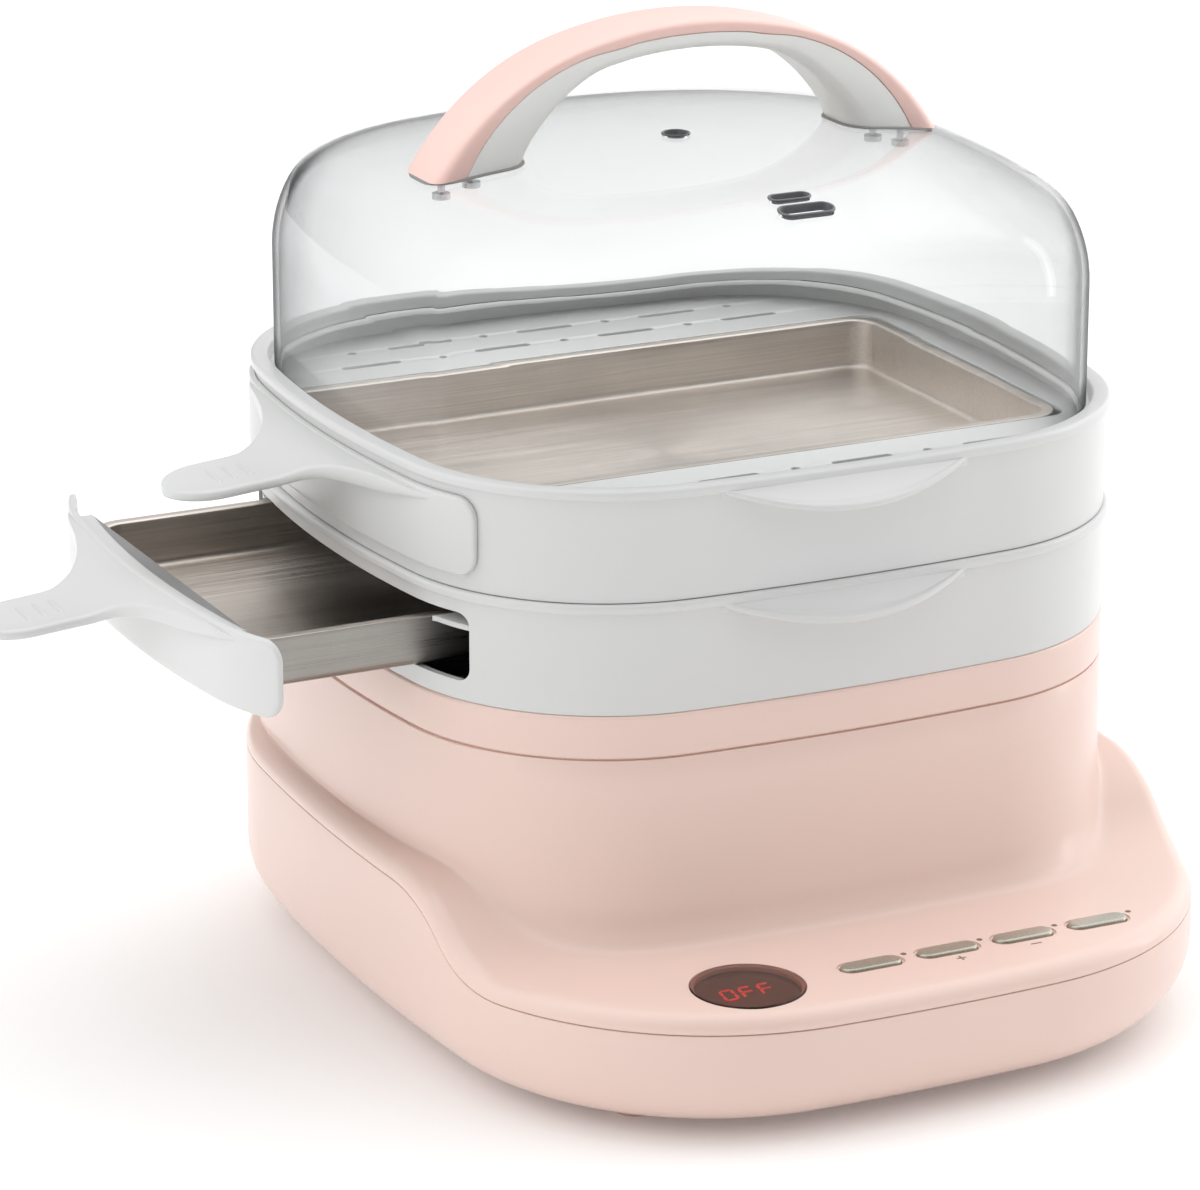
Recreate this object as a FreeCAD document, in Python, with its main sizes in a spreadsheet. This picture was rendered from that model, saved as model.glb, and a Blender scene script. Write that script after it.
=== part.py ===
import FreeCAD, Part
import math, os
import Sketcher

# Countertop rice noodle roll steamer.
# Frame: +Z up, the control ledge faces -Y, the trays slide out towards -X.
# Origin: centre of the tower's plan, on the plane the feet stand on. Millimetres.

V = FreeCAD.Vector
doc = FreeCAD.newDocument("rice_roll_steamer")
sheet = doc.addObject("Spreadsheet::Sheet", "Params")


class Dim:
    """A length with its value and the sheet formula that gives it."""

    def __init__(self, v, s):
        self.v = float(v)
        self.s = s

    def __add__(self, o):
        o = dim(o)
        return Dim(self.v + o.v, "(%s + %s)" % (self.s, o.s))

    __radd__ = __add__

    def __sub__(self, o):
        o = dim(o)
        return Dim(self.v - o.v, "(%s - %s)" % (self.s, o.s))

    def __rsub__(self, o):
        return dim(o) - self

    def __mul__(self, o):
        o = dim(o)
        return Dim(self.v * o.v, "(%s * %s)" % (self.s, o.s))

    __rmul__ = __mul__

    def __truediv__(self, o):
        o = dim(o)
        return Dim(self.v / o.v, "(%s / %s)" % (self.s, o.s))

    def __neg__(self):
        return Dim(-self.v, "(0 - %s)" % self.s)


def dim(x):
    return x if isinstance(x, Dim) else Dim(x, "%.6g" % x if x >= 0 else "(0 - %.6g)" % -x)


def root(x):
    x = dim(x)
    return Dim(math.sqrt(x.v), "sqrt(%s)" % x.s)


ROW = [0]


def param(alias, value):
    ROW[0] += 1
    sheet.set("A%d" % ROW[0], alias)
    sheet.set("B%d" % ROW[0], "%.6g" % value)
    sheet.setAlias("B%d" % ROW[0], alias)
    return Dim(value, "Params." + alias)


# ---- plan outlines: four large arcs joined by four corner arcs ----------------
tier_half_x = param("tier_half_x", 145.0)
tier_half_y = param("tier_half_y", 143.3)
tier_face_r = param("tier_face_r", 905.5)
tier_side_r = param("tier_side_r", 520.4)
tier_corner_r = param("tier_corner_r", 82.3)
base_half_x = param("base_half_x", 154.85)
base_half_y = param("base_half_y", 187.74)
base_face_r = param("base_face_r", 841.9)
base_side_r = param("base_side_r", 990.1)
base_corner_r = param("base_corner_r", 112.4)
base_back = param("base_back", 30.1)
# ---- base ---------------------------------------------------------------------
foot_z = param("foot_height", 4.0)
bowl_round = param("bowl_round", 27.0)
shell = param("shell_thickness", 2.6)
ledge_z = param("ledge_z", 52.2)
shoulder_z = param("shoulder_z", 77.5)
seam_drop = param("seam_drop", 7.7)
slope_start = param("slope_start", 78.0)
slope_end = param("slope_end", 147.0)
edge_round = param("edge_round", 7.0)
tower_top = param("tower_top", 124.2)
tower_off = param("tower_offset", 0.55)
# ---- tiers --------------------------------------------------------------------
tier_z = param("tier_z", 141.2)
pitch = param("tier_pitch", 42.05)
seam_gap = param("stack_gap", 0.25)
rim_h = param("rim_height", 3.9)
rim_out = param("rim_proud", 1.7)
rim_in = param("rim_inset", 5.5)
seat_in = param("seat_inset", 10.5)
seat_drop = param("seat_drop", 5.0)
deck_drop = param("deck_drop", 14.0)
deck_t = param("deck_thickness", 2.0)
spigot_h = param("spigot_height", 4.0)
open_y = param("opening_half_width", 98.0)
open_lo = param("opening_low", 7.05)
open_hi = param("opening_high", 32.75)
bay_y = param("bay_half_width", 79.4)
bay_x = param("bay_end_x", 128.6)
# ---- trays --------------------------------------------------------------------
pan_x0 = param("pan_left", 132.0)
pan_x1 = param("pan_right", 123.0)
pan_y = param("pan_half_width", 74.5)
pan_depth = param("pan_depth", 20.0)
pan_t = param("pan_sheet", 0.8)
pan_flange = param("pan_flange", 4.0)
pan_round = param("pan_corner", 10.0)
front_y = param("front_half_width", 101.5)
front_lo = param("front_low", 5.35)
front_hi = param("front_high", 34.55)
front_proud = param("front_proud", 2.5)
tray_out = param("lower_tray_out", 75.0)
tongue_tip = param("tongue_tip_x", 208.0)
tongue_half = param("tongue_half_width", 18.0)
tongue_t = param("tongue_thickness", 4.0)
# ---- lid ----------------------------------------------------------------------
lid_in = param("lid_inset", 7.5)
lid_t = param("lid_thickness", 2.5)
lid_top = param("lid_top", 316.0)
lid_round = param("lid_round", 52.0)
lid_crown_r = param("lid_crown_radius", 700.0)
arch_half = param("arch_half_width", 15.0)
arch_top = param("arch_top", 360.5)
arch_r0 = param("arch_crown_radius", 165.0)
arch_x0 = param("arch_crown_half", 45.0)
arch_r1 = param("arch_side_radius", 105.0)
grip_top = param("grip_under_z", 350.2)
grip_r0 = param("grip_crown_radius", 150.0)
grip_x0 = param("grip_crown_half", 25.0)
grip_r1 = param("grip_side_radius", 55.0)
gasket_t = param("gasket_thickness", 0.8)
# ---- controls -----------------------------------------------------------------
display_x = param("display_x", -64.2)
display_y = param("display_y", -186.3)
display_d = param("display_diameter", 41.5)
key_x0 = param("first_key_x", -15.2)
key_pitch = param("key_pitch", 31.4)
key_y = param("key_y", -187.5)
key_l = param("key_length", 24.0)
key_w = param("key_width", 8.0)
key_gap = param("key_clearance", 0.3)
key_travel = param("key_travel", 0.8)
doc.recompute()


def bind(obj, prop, d):
    """Tie a property to its formula; plain numbers are written as they are."""
    d = dim(d)
    obj.setExpression(prop, d.s)


def tie(sk, index, d, name):
    sk.renameConstraint(index, name)
    sk.setExpression("Constraints." + name, dim(d).s)


def new_body(name):
    return doc.addObject("PartDesign::Body", name)


def plane(body, role):
    for f in body.Origin.OriginFeatures:
        if f.Role == role:
            return f
    raise RuntimeError(role)


def new_sketch(body, name, role="XY_Plane", z=None, x=None, y=None, tilt=None):
    sk = body.newObject("Sketcher::SketchObject", name)
    sk.AttachmentSupport = (plane(body, role), [""])
    sk.MapMode = "FlatFace"
    pos = V(x.v if x else 0, y.v if y else 0, z.v if z else 0)
    rot = FreeCAD.Rotation()
    if tilt:
        rot = FreeCAD.Rotation(V(0, 1, 0), tilt)
    sk.AttachmentOffset = FreeCAD.Placement(pos, rot)
    if x:
        sk.setExpression(".AttachmentOffset.Base.x", x.s)
    if y:
        sk.setExpression(".AttachmentOffset.Base.y", y.s)
    if z:
        sk.setExpression(".AttachmentOffset.Base.z", z.s)
    return sk


def plan_numbers(kind, off):
    hx, hy, fr, sr, cr = kind
    o = dim(off)
    return hx, hy, fr, sr, cr, o


TIER = (tier_half_x, tier_half_y, tier_face_r, tier_side_r, tier_corner_r)
BASE = (base_half_x, base_half_y, base_face_r, base_side_r, base_corner_r)


def outline(body, name, kind, off, z, extra_box=None):
    """Closed plan outline of eight tangent arcs, grown by off, at height z."""
    hx, hy, fr, sr, cr, o = plan_numbers(kind, off)
    yshift = -base_back if kind is BASE else None
    sk = new_sketch(body, name, z=dim(z), y=yshift)
    S = (hx.v - sr.v, 0.0)
    F = (0.0, hy.v - fr.v)
    r1, r2 = sr.v - cr.v, fr.v - cr.v
    d = math.hypot(F[0] - S[0], F[1] - S[1])
    a = (r1 * r1 - r2 * r2 + d * d) / (2 * d)
    h = math.sqrt(max(r1 * r1 - a * a, 0))
    ux, uy = (F[0] - S[0]) / d, (F[1] - S[1]) / d
    best = None
    for s in (1, -1):
        c = (S[0] + ux * a - uy * h * s, S[1] + uy * a + ux * h * s)
        if best is None or c[0] + c[1] > best[0] + best[1]:
            best = c
    C = best
    t1 = math.atan2(C[1] - S[1], C[0] - S[0])
    t2 = math.atan2(C[1] - F[1], C[0] - F[0])
    Rs, Rf, Rc = sr.v + o.v, fr.v + o.v, cr.v + o.v
    pi = math.pi
    arcs = [
        ((S[0], 0), Rs, -t1, t1),
        ((C[0], C[1]), Rc, t1, t2),
        ((0, F[1]), Rf, t2, pi - t2),
        ((-C[0], C[1]), Rc, pi - t2, pi - t1),
        ((-S[0], 0), Rs, pi - t1, pi + t1),
        ((-C[0], -C[1]), Rc, pi + t1, pi + t2),
        ((0, -F[1]), Rf, pi + t2, 2 * pi - t2),
        ((C[0], -C[1]), Rc, 2 * pi - t2, 2 * pi - t1),
    ]
    geo = []
    for (c, r, a0, a1) in arcs:
        geo.append(Part.ArcOfCircle(Part.Circle(V(c[0], c[1], 0), V(0, 0, 1), r), a0, a1))
    sk.addGeometry(geo, False)
    K = Sketcher.Constraint
    cons = []
    for i in range(8):
        cons.append(K("Tangent", i, 2, (i + 1) % 8, 1))
    cons += [K("PointOnObject", 0, 3, -1), K("PointOnObject", 4, 3, -1),
             K("PointOnObject", 2, 3, -2), K("PointOnObject", 6, 3, -2),
             K("Equal", 0, 4), K("Equal", 2, 6), K("Equal", 1, 3), K("Equal", 3, 5), K("Equal", 5, 7)]
    sk.addConstraint(cons)
    tie(sk, sk.addConstraint(K("Radius", 0, Rs)), sr + o, "side_r")
    tie(sk, sk.addConstraint(K("Radius", 2, Rf)), fr + o, "face_r")
    tie(sk, sk.addConstraint(K("Radius", 1, Rc)), cr + o, "corner_r")
    tie(sk, sk.addConstraint(K("DistanceX", 0, 3, -1, 1, -S[0])), sr - hx, "side_cx")
    tie(sk, sk.addConstraint(K("DistanceX", -1, 1, 4, 3, -S[0])), sr - hx, "side_cx2")
    tie(sk, sk.addConstraint(K("DistanceY", 2, 3, -1, 1, -F[1])), fr - hy, "face_cy")
    tie(sk, sk.addConstraint(K("DistanceY", -1, 1, 6, 3, -F[1])), fr - hy, "face_cy2")
    return sk


def polygon(body, name, pts, role="XY_Plane", z=None, x=None, y=None, tilt=None):
    """Closed straight-sided sketch; every corner is placed from the origin by its formula."""
    sk = new_sketch(body, name, role, z=z, x=x, y=y, tilt=tilt)
    pts = [(dim(p[0]), dim(p[1])) for p in pts]
    n = len(pts)
    geo = []
    for i in range(n):
        p, q = pts[i], pts[(i + 1) % n]
        geo.append(Part.LineSegment(V(p[0].v, p[1].v, 0), V(q[0].v, q[1].v, 0)))
    sk.addGeometry(geo, False)
    K = Sketcher.Constraint
    sk.addConstraint([K("Coincident", i, 2, (i + 1) % n, 1) for i in range(n)])
    for i, p in enumerate(pts):
        pin(sk, i, 1, p[0], p[1], "p%d" % i)
    return sk


def pin(sk, g, v, px, py, name):
    """Fix a point of a sketch by signed distances from the origin."""
    pin_one(sk, g, v, "X", px, name + "x")
    pin_one(sk, g, v, "Y", py, name + "y")


def pin_one(sk, g, v, axis, d, name):
    K = Sketcher.Constraint
    d = dim(d)
    if abs(d.v) < 1e-9:
        sk.addConstraint(K("PointOnObject", g, v, -2 if axis == "X" else -1))
    elif d.v > 0:
        tie(sk, sk.addConstraint(K("Distance" + axis, -1, 1, g, v, d.v)), d, name)
    else:
        tie(sk, sk.addConstraint(K("Distance" + axis, g, v, -1, 1, -d.v)), -d, name)


def path_sketch(body, name, role, items, z=None, x=None, y=None, tilt=None, closed=True):
    """Closed sketch of lines and arcs: items are corner points, an arc given by its
    end, its centre and its sense. Ends and centres are placed by their formulas."""
    sk = new_sketch(body, name, role, z=z, x=x, y=y, tilt=tilt)
    n = len(items)
    geo = []
    spec = []
    for i in range(n if closed else n - 1):
        a = items[i]
        b = items[(i + 1) % n]
        p = (dim(a[0]).v, dim(a[1]).v)
        q = (dim(b[0]).v, dim(b[1]).v)
        if len(a) > 2:
            cx, cy = dim(a[2]), dim(a[3])
            ccw = a[4]
            a0 = math.atan2(p[1] - cy.v, p[0] - cx.v)
            a1 = math.atan2(q[1] - cy.v, q[0] - cx.v)
            r = math.hypot(p[0] - cx.v, p[1] - cy.v)
            if not ccw:
                a0, a1 = a1, a0
            if a1 < a0:
                a1 += 2 * math.pi
            geo.append(Part.ArcOfCircle(Part.Circle(V(cx.v, cy.v, 0), V(0, 0, 1), r), a0, a1))
            spec.append(("arc", ccw, cx, cy))
        else:
            geo.append(Part.LineSegment(V(p[0], p[1], 0), V(q[0], q[1], 0)))
            spec.append(("line", True, None, None))
    sk.addGeometry(geo, False)
    K = Sketcher.Constraint

    def start(i):
        return 1 if spec[i][1] else 2

    def end(i):
        return 2 if spec[i][1] else 1

    m = len(spec)
    for i in range(m if closed else m - 1):
        j = (i + 1) % m
        sk.addConstraint(K("Coincident", i, end(i), j, start(j)))
    for i in range(m):
        pin(sk, i, start(i), items[i][0], items[i][1], "p%d" % i)
    if not closed:
        pin(sk, m - 1, end(m - 1), items[n - 1][0], items[n - 1][1], "p%d" % (n - 1))
    for i in range(m):
        if spec[i][0] == "arc":
            # with both ends placed, one coordinate of the centre settles the arc
            p = (dim(items[i][0]).v, dim(items[i][1]).v)
            q = (dim(items[(i + 1) % n][0]).v, dim(items[(i + 1) % n][1]).v)
            if abs(q[1] - p[1]) > abs(q[0] - p[0]):
                pin_one(sk, i, 3, "X", spec[i][2], "c%dx" % i)
            else:
                pin_one(sk, i, 3, "Y", spec[i][3], "c%dy" % i)
    return sk


def pill(body, name, cx, cy, length, width, z):
    """Stadium-shaped sketch lying along X."""
    h = width / 2
    e = length / 2 - h
    return path_sketch(body, name, "XY_Plane", [
        (cx - e, cy - h), (cx + e, cy - h, cx + e, cy, True), (cx + e, cy + h),
        (cx - e, cy + h, cx - e, cy, True)], z=z)


def round_rect(body, name, x0, x1, y0, y1, r, z):
    return path_sketch(body, name, "XY_Plane", [
        (x0 + r, y0), (x1 - r, y0, x1 - r, y0 + r, True), (x1, y0 + r),
        (x1, y1 - r, x1 - r, y1 - r, True), (x1 - r, y1),
        (x0 + r, y1, x0 + r, y1 - r, True), (x0, y1 - r),
        (x0, y0 + r, x0 + r, y0 + r, True)], z=z)


def circle(body, name, cx, cy, r, z, role="XY_Plane"):
    sk = new_sketch(body, name, role, z=z)
    sk.addGeometry(Part.Circle(V(dim(cx).v, dim(cy).v, 0), V(0, 0, 1), dim(r).v), False)
    tie(sk, sk.addConstraint(Sketcher.Constraint("Radius", 0, dim(r).v)), r, "circle_r")
    pin(sk, 0, 3, cx, cy, "c")
    return sk


def pad(body, sk, length, up=True, name="pad"):
    f = body.newObject("PartDesign::Pad", name)
    f.Profile = sk
    f.Length = dim(length).v
    bind(f, "Length", length)
    f.Reversed = not up
    sk.Visibility = False
    return f


def pocket(body, sk, length=None, down=True, both=False, name="pocket"):
    f = body.newObject("PartDesign::Pocket", name)
    f.Profile = sk
    if both:
        if "SideType" in f.PropertiesList:
            f.SideType = "Symmetric"
        else:
            f.Midplane = True
    if length is None:
        f.Type = 1
    else:
        f.Type = 0
        f.Length = dim(length).v
        bind(f, "Length", length)
    f.Reversed = not down
    return f


def loft(body, sketches, ruled=False, cut=False):
    f = body.newObject("PartDesign::SubtractiveLoft" if cut else "PartDesign::AdditiveLoft", "loft")
    f.Profile = sketches[0]
    f.Sections = sketches[1:]
    f.Ruled = ruled
    return f


def fillet(body, feat, names, r, chamfer=False):
    f = body.newObject("PartDesign::Chamfer" if chamfer else "PartDesign::Fillet", "round")
    f.Base = (feat, names)
    if chamfer:
        f.Size = dim(r).v
        bind(f, "Size", r)
    else:
        f.Radius = dim(r).v
        bind(f, "Radius", r)
    return f


def edges(obj, test):
    doc.recompute()
    names = []
    for i, e in enumerate(obj.Shape.Edges):
        b = e.BoundBox
        if test(e, b):
            names.append("Edge%d" % (i + 1))
    if not names:
        raise RuntimeError("no edges for " + obj.Name)
    return names


def flat(b, z, tol=0.02):
    return abs(b.ZMin - z) < tol and abs(b.ZMax - z) < tol


NODES = {}


def node(label, obj):
    obj.Label = label
    NODES[label] = obj
    return obj


def place(o, x=None, y=None, z=None):
    for c, d in (("x", x), ("y", y), ("z", z)):
        if d is not None:
            d = dim(d)
            setattr(o.Placement.Base, c, d.v)
            o.setExpression(".Placement.Base." + c, d.s)
    return o


def box(name, x0, x1, y0, y1, z0, z1):
    o = doc.addObject("Part::Box", name)
    x0, x1, y0, y1, z0, z1 = [dim(q) for q in (x0, x1, y0, y1, z0, z1)]
    bind(o, "Length", x1 - x0)
    bind(o, "Width", y1 - y0)
    bind(o, "Height", z1 - z0)
    return place(o, x0, y0, z0)


def cyl(name, x, y, z0, z1, r):
    o = doc.addObject("Part::Cylinder", name)
    bind(o, "Radius", r)
    bind(o, "Height", dim(z1) - dim(z0))
    return place(o, x, y, z0)


def cyl_y(name, x, y0, y1, z, r):
    o = doc.addObject("Part::Cylinder", name)
    o.Placement = FreeCAD.Placement(V(0, 0, 0), FreeCAD.Rotation(V(1, 0, 0), -90))
    bind(o, "Radius", r)
    bind(o, "Height", dim(y1) - dim(y0))
    return place(o, x, y0, z)


def cyl_x(name, x0, x1, y, z, r):
    o = doc.addObject("Part::Cylinder", name)
    o.Placement = FreeCAD.Placement(V(0, 0, 0), FreeCAD.Rotation(V(0, 1, 0), 90))
    bind(o, "Radius", r)
    bind(o, "Height", dim(x1) - dim(x0))
    return place(o, x0, y, z)


def cone(name, x, y, z0, z1, r0, r1):
    o = doc.addObject("Part::Cone", name)
    bind(o, "Radius1", r0)
    bind(o, "Radius2", r1)
    bind(o, "Height", dim(z1) - dim(z0))
    return place(o, x, y, z0)


def fuse(name, parts):
    o = doc.addObject("Part::MultiFuse", name)
    o.Shapes = parts
    return o


def common(name, parts):
    o = doc.addObject("Part::MultiCommon", name)
    o.Shapes = parts
    return o


def cut(name, a, tools):
    o = doc.addObject("Part::Cut", name)
    o.Base = a
    if len(tools) > 1:
        o.Tool = fuse(name + "_tools", tools)
    else:
        o.Tool = tools[0]
    return o


def group(name, parts):
    o = doc.addObject("Part::Compound", name)
    o.Links = parts
    return o


# ==== base casings =============================================================
# The shoulder's height along Y: high from the rear to slope_start, then two equal
# tangent arcs down to the ledge at slope_end.
span = slope_end - slope_start
fall = shoulder_z - ledge_z
s_rad = (span * span + fall * fall) / (4 * fall)
mid_y = -(slope_start + span / 2)
mid_z = (shoulder_z + ledge_z) / 2


def shoulder_line(drop):
    """Points and arcs of the shoulder's profile in the YZ plane, rear to front."""
    hi = shoulder_z - drop
    lo = ledge_z - drop
    return [
        (dim(230.0), hi),
        (-slope_start, hi, -slope_start, hi - s_rad, True),
        (mid_y, mid_z - drop, -slope_end, lo + s_rad, False),
        (-slope_end, lo),
        (dim(-250.0), lo),
    ]


def casing(name, off, drop, z_low, rim_round, top_z, section_off):
    """Ledge, shoulder and flared tower as one solid, grown by off in plan."""
    b = new_body(name)
    sk = outline(b, name + "_plan", BASE, off, z_low)
    block = pad(b, sk, dim(92.0) - z_low, name=name + "_block")
    line = shoulder_line(drop)
    above = path_sketch(b, name + "_above", "YZ_Plane",
                        line + [(dim(-250.0), dim(130.0)), (dim(230.0), dim(130.0))])
    top = pocket(b, above, both=True, name=name + "_shoulder")
    doc.recompute()
    names = []
    hi, lo = (shoulder_z - drop).v, (ledge_z - drop).v
    hx, hy = (base_half_x + off).v, (base_half_y + off).v
    for i, e in enumerate(top.Shape.Edges):
        bb = e.BoundBox
        if bb.ZMin < z_low.v + 3:
            continue
        # edges lying on the outer wall's top, not the cross lines of the shoulder's surface
        if bb.XLength > 2 * hx - 60 and bb.YLength < 1:
            if abs(bb.YMin + base_back.v) < hy - 4:
                continue
        names.append("Edge%d" % (i + 1))
    rounded = fillet(b, top, names, rim_round)
    # tower flare: a cove above the ledge that turns upright
    rows = [(ledge_z - 4.5, 10.0), (ledge_z, 9.2), (ledge_z + 3.5, 6.1), (ledge_z + 8, 3.6),
            (ledge_z + 14, 1.8), (ledge_z + 22, 0.75), (ledge_z + 34, 0.1), (ledge_z + 52, 0.0), (top_z, 0.0)]
    sks = []
    for i, (zz, o) in enumerate(rows):
        sks.append(outline(b, "%s_ring%d" % (name, i), TIER, tower_off + section_off + o, zz))
    tower = loft(b, sks)
    # nothing stands outside the base's own outline
    trim = outline(b, name + "_trim", BASE, off, dim(200.0))
    K = Sketcher.Constraint
    x0, y0 = 300.0, 300.0
    pts = [(-x0, -y0), (x0, -y0), (x0, y0), (-x0, y0)]
    g0 = trim.GeometryCount
    trim.addGeometry([Part.LineSegment(V(pts[i][0], pts[i][1], 0), V(pts[(i + 1) % 4][0], pts[(i + 1) % 4][1], 0))
                      for i in range(4)], False)
    trim.addConstraint([K("Coincident", g0 + i, 2, g0 + (i + 1) % 4, 1) for i in range(4)])
    for i, p in enumerate(pts):
        pin(trim, g0 + i, 1, dim(p[0]), dim(p[1]), "t%d" % i)
    pocket(b, trim, name=name + "_outside")
    return b


outer = casing("housing_outer", dim(0.0), dim(0.0), dim(38.0), edge_round, tower_top, dim(0.0))
inner = casing("housing_inner", -shell, shell, dim(30.0), edge_round - shell + 0.2, tower_top + 8, -shell)

# everything below the seam belongs to the bowl
below = new_body("housing_below_seam")
line = shoulder_line(seam_drop)
sk = path_sketch(below, "below_seam", "YZ_Plane", line + [(dim(-250.0), dim(-20.0)), (dim(230.0), dim(-20.0))])
f = pad(below, sk, dim(400.0), name="below_seam_pad")
if "SideType" in f.PropertiesList:
    f.SideType = "Symmetric"
else:
    f.Midplane = True

# ledge openings: display recess, key recesses and shafts, light holes
cutters = [below, inner]
cutters.append(cyl("display_recess", display_x, display_y, ledge_z - 1.7, ledge_z + 5, display_d / 2 + 0.3))
cutters.append(cyl("display_hole", display_x, display_y, ledge_z - 12, ledge_z + 5, display_d / 2 - 1.6))
for i in range(4):
    kx = key_x0 + key_pitch * i
    kb = new_body("key_cutter_%d" % (i + 1))
    pad(kb, pill(kb, "key_shaft_%d" % (i + 1), kx, key_y, key_l + key_gap * 2, key_w + key_gap * 2, ledge_z - 12),
        dim(20.0), name="shaft")
    pad(kb, pill(kb, "key_bezel_%d" % (i + 1), kx, key_y, key_l + 2.6, key_w + 2.6, ledge_z - 0.7), dim(8.7), name="bezel")
    cutters.append(kb)
    cutters.append(cyl("light_hole_%d" % (i + 1), kx + 15.2, key_y + 3.4, ledge_z - 12, ledge_z + 5, dim(1.15)))
bare = cut("housing_bare", outer, cutters)

BOSS = [(dim(128.0), dim(62.0)), (dim(-128.0), dim(62.0)), (dim(103.0), dim(-150.0)), (dim(-103.0), dim(-150.0))]
bosses = []
boss_holes = []
for i, (bx, by) in enumerate(BOSS):
    rear = i < 2
    top = dim(70.0) if rear else ledge_z - 1.4
    bosses.append(cyl("upper_boss_%d" % i, bx, by, dim(40.2), top, dim(4.5)))
    if rear:
        if bx.v > 0:
            bosses.append(box("upper_rib_%d" % i, dim(124.0), dim(144.0), by - 1.2, by + 1.2, dim(62.0), dim(84.0)))
        else:
            bosses.append(box("upper_rib_%d" % i, dim(-144.0), dim(-124.0), by - 1.2, by + 1.2, dim(62.0), dim(84.0)))
    boss_holes.append(cyl("upper_pilot_%d" % i, bx, by, dim(39.0), dim(49.0), dim(1.55)))
housing = cut("housing_final", fuse("housing_with_bosses", [bare] + bosses), boss_holes)
node("top_housing", housing)

# bowl: rounded underside, upper edge on the seam
bo = new_body("bowl_outer")
f = pad(bo, outline(bo, "bowl_plan", BASE, dim(0.0), foot_z), dim(92.0) - foot_z, name="bowl_pad")
r = fillet(bo, f, edges(f, lambda e, b: flat(b, foot_z.v)), bowl_round)
bi = new_body("bowl_inner")
f = pad(bi, outline(bi, "bowl_cavity", BASE, -shell, foot_z + shell), dim(95.0) - foot_z - shell, name="cavity_pad")
r = fillet(bi, f, edges(f, lambda e, b: flat(b, (foot_z + shell).v)), bowl_round - shell)
bowl_region = common("bowl_region", [bo, below])
bowl_shell = cut("bowl_shell", bowl_region, [bi])
posts = []
holes = []
for i, (bx, by) in enumerate(BOSS):
    posts.append(cyl("lower_boss_%d" % i, bx, by, dim(5.2), dim(40.0), dim(4.5)))
    holes.append(cyl("lower_clear_%d" % i, bx, by, dim(0.0), dim(41.0), dim(1.8)))
    holes.append(cyl("lower_counterbore_%d" % i, bx, by, dim(0.0), dim(20.0), dim(3.4)))
BOARD = [(-70.0, -42.0), (60.0, -42.0), (-70.0, 48.0), (60.0, 48.0)]
for i, (x, y) in enumerate(BOARD):
    posts.append(cyl("board_post_%d" % i, x, y, dim(5.2), dim(24.0), dim(3.5)))
    holes.append(cyl("board_pilot_%d" % i, x, y, dim(14.0), dim(25.0), dim(1.25)))
SHIELD = [(-100.0, -64.0), (100.0, -64.0), (-100.0, 86.0), (100.0, 86.0)]
for i, (x, y) in enumerate(SHIELD):
    posts.append(cyl("shield_post_%d" % i, x, y, dim(5.2), dim(62.0), dim(4.0)))
    holes.append(cyl("shield_pilot_%d" % i, x, y, dim(50.0), dim(63.0), dim(1.25)))
# panel board posts under the ledge
PANEL = [(-90.0, -168.0), (90.0, -168.0), (-38.0, -195.5), (70.0, -195.5)]
for i, (x, y) in enumerate(PANEL):
    posts.append(cyl("panel_post_%d" % i, x, y, dim(5.2), dim(34.0), dim(3.5)))
    holes.append(cyl("panel_pilot_%d" % i, x, y, dim(24.0), dim(35.0), dim(1.25)))
GX = dim(96.0)
holes.append(cyl_y("gland_hole", GX, dim(120.0), dim(175.0), dim(34.0), dim(7.3)))
FEET = [(-95.0, -158.0), (95.0, -158.0), (-100.0, 98.0), (100.0, 98.0)]
for i, (x, y) in enumerate(FEET):
    holes.append(cyl("foot_socket_%d" % i, x, y, dim(0.0), dim(5.2), dim(8.7)))
    posts.append(cyl("foot_boss_%d" % i, x, y, dim(5.2), dim(9.5), dim(9.5)))
    holes.append(cyl("foot_screw_hole_%d" % i, x, y, dim(0.0), dim(12.0), dim(1.6)))
# cooling slots in the floor
for i in range(9):
    holes.append(box("floor_slot_%d" % i, dim(-44.0 + 11 * i), dim(-41.0 + 11 * i), dim(-20.0), dim(25.0), dim(0.0), dim(10.0)))
# the posts stop at the casing's own inner face
post_body = common("bowl_posts", [fuse("bowl_posts_raw", posts), bo])
bowl = cut("bowl_final", fuse("bowl_with_posts", [bowl_shell, post_body]), holes)
node("bottom_bowl", bowl)

feet = []
for i, (x, y) in enumerate(FEET):
    a = cone("foot_pad_%d" % i, x, y, dim(0.0), dim(2.0), dim(7.6), dim(8.4))
    c = cyl("foot_body_%d" % i, x, y, dim(2.0), dim(5.2), dim(8.4))
    hole = cyl("foot_bore_%d" % i, x, y, dim(-1.0), dim(6.0), dim(1.6))
    cb = cyl("foot_cup_%d" % i, x, y, dim(-1.0), dim(2.4), dim(3.2))
    feet.append(cut("foot_%d" % i, fuse("foot_solid_%d" % i, [a, c]), [hole, cb]))
node("feet", group("feet_group", feet))
scr = []
for i, (x, y) in enumerate(FEET):
    scr.append(fuse("foot_screw_%d" % i, [cyl("fsh_%d" % i, x, y, dim(1.0), dim(2.4), dim(2.8)),
                                          cyl("fss_%d" % i, x, y, dim(2.4), dim(9.2), dim(1.5))]))
node("foot_screws", group("foot_screw_group", scr))
scr = []
for i, (bx, by) in enumerate(BOSS):
    scr.append(fuse("housing_screw_%d" % i, [cyl("hsh_%d" % i, bx, by, dim(17.6), dim(20.0), dim(3.0)),
                                             cyl("hss_%d" % i, bx, by, dim(20.0), dim(48.5), dim(1.5))]))
node("housing_screws", group("housing_screw_group", scr))

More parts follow.
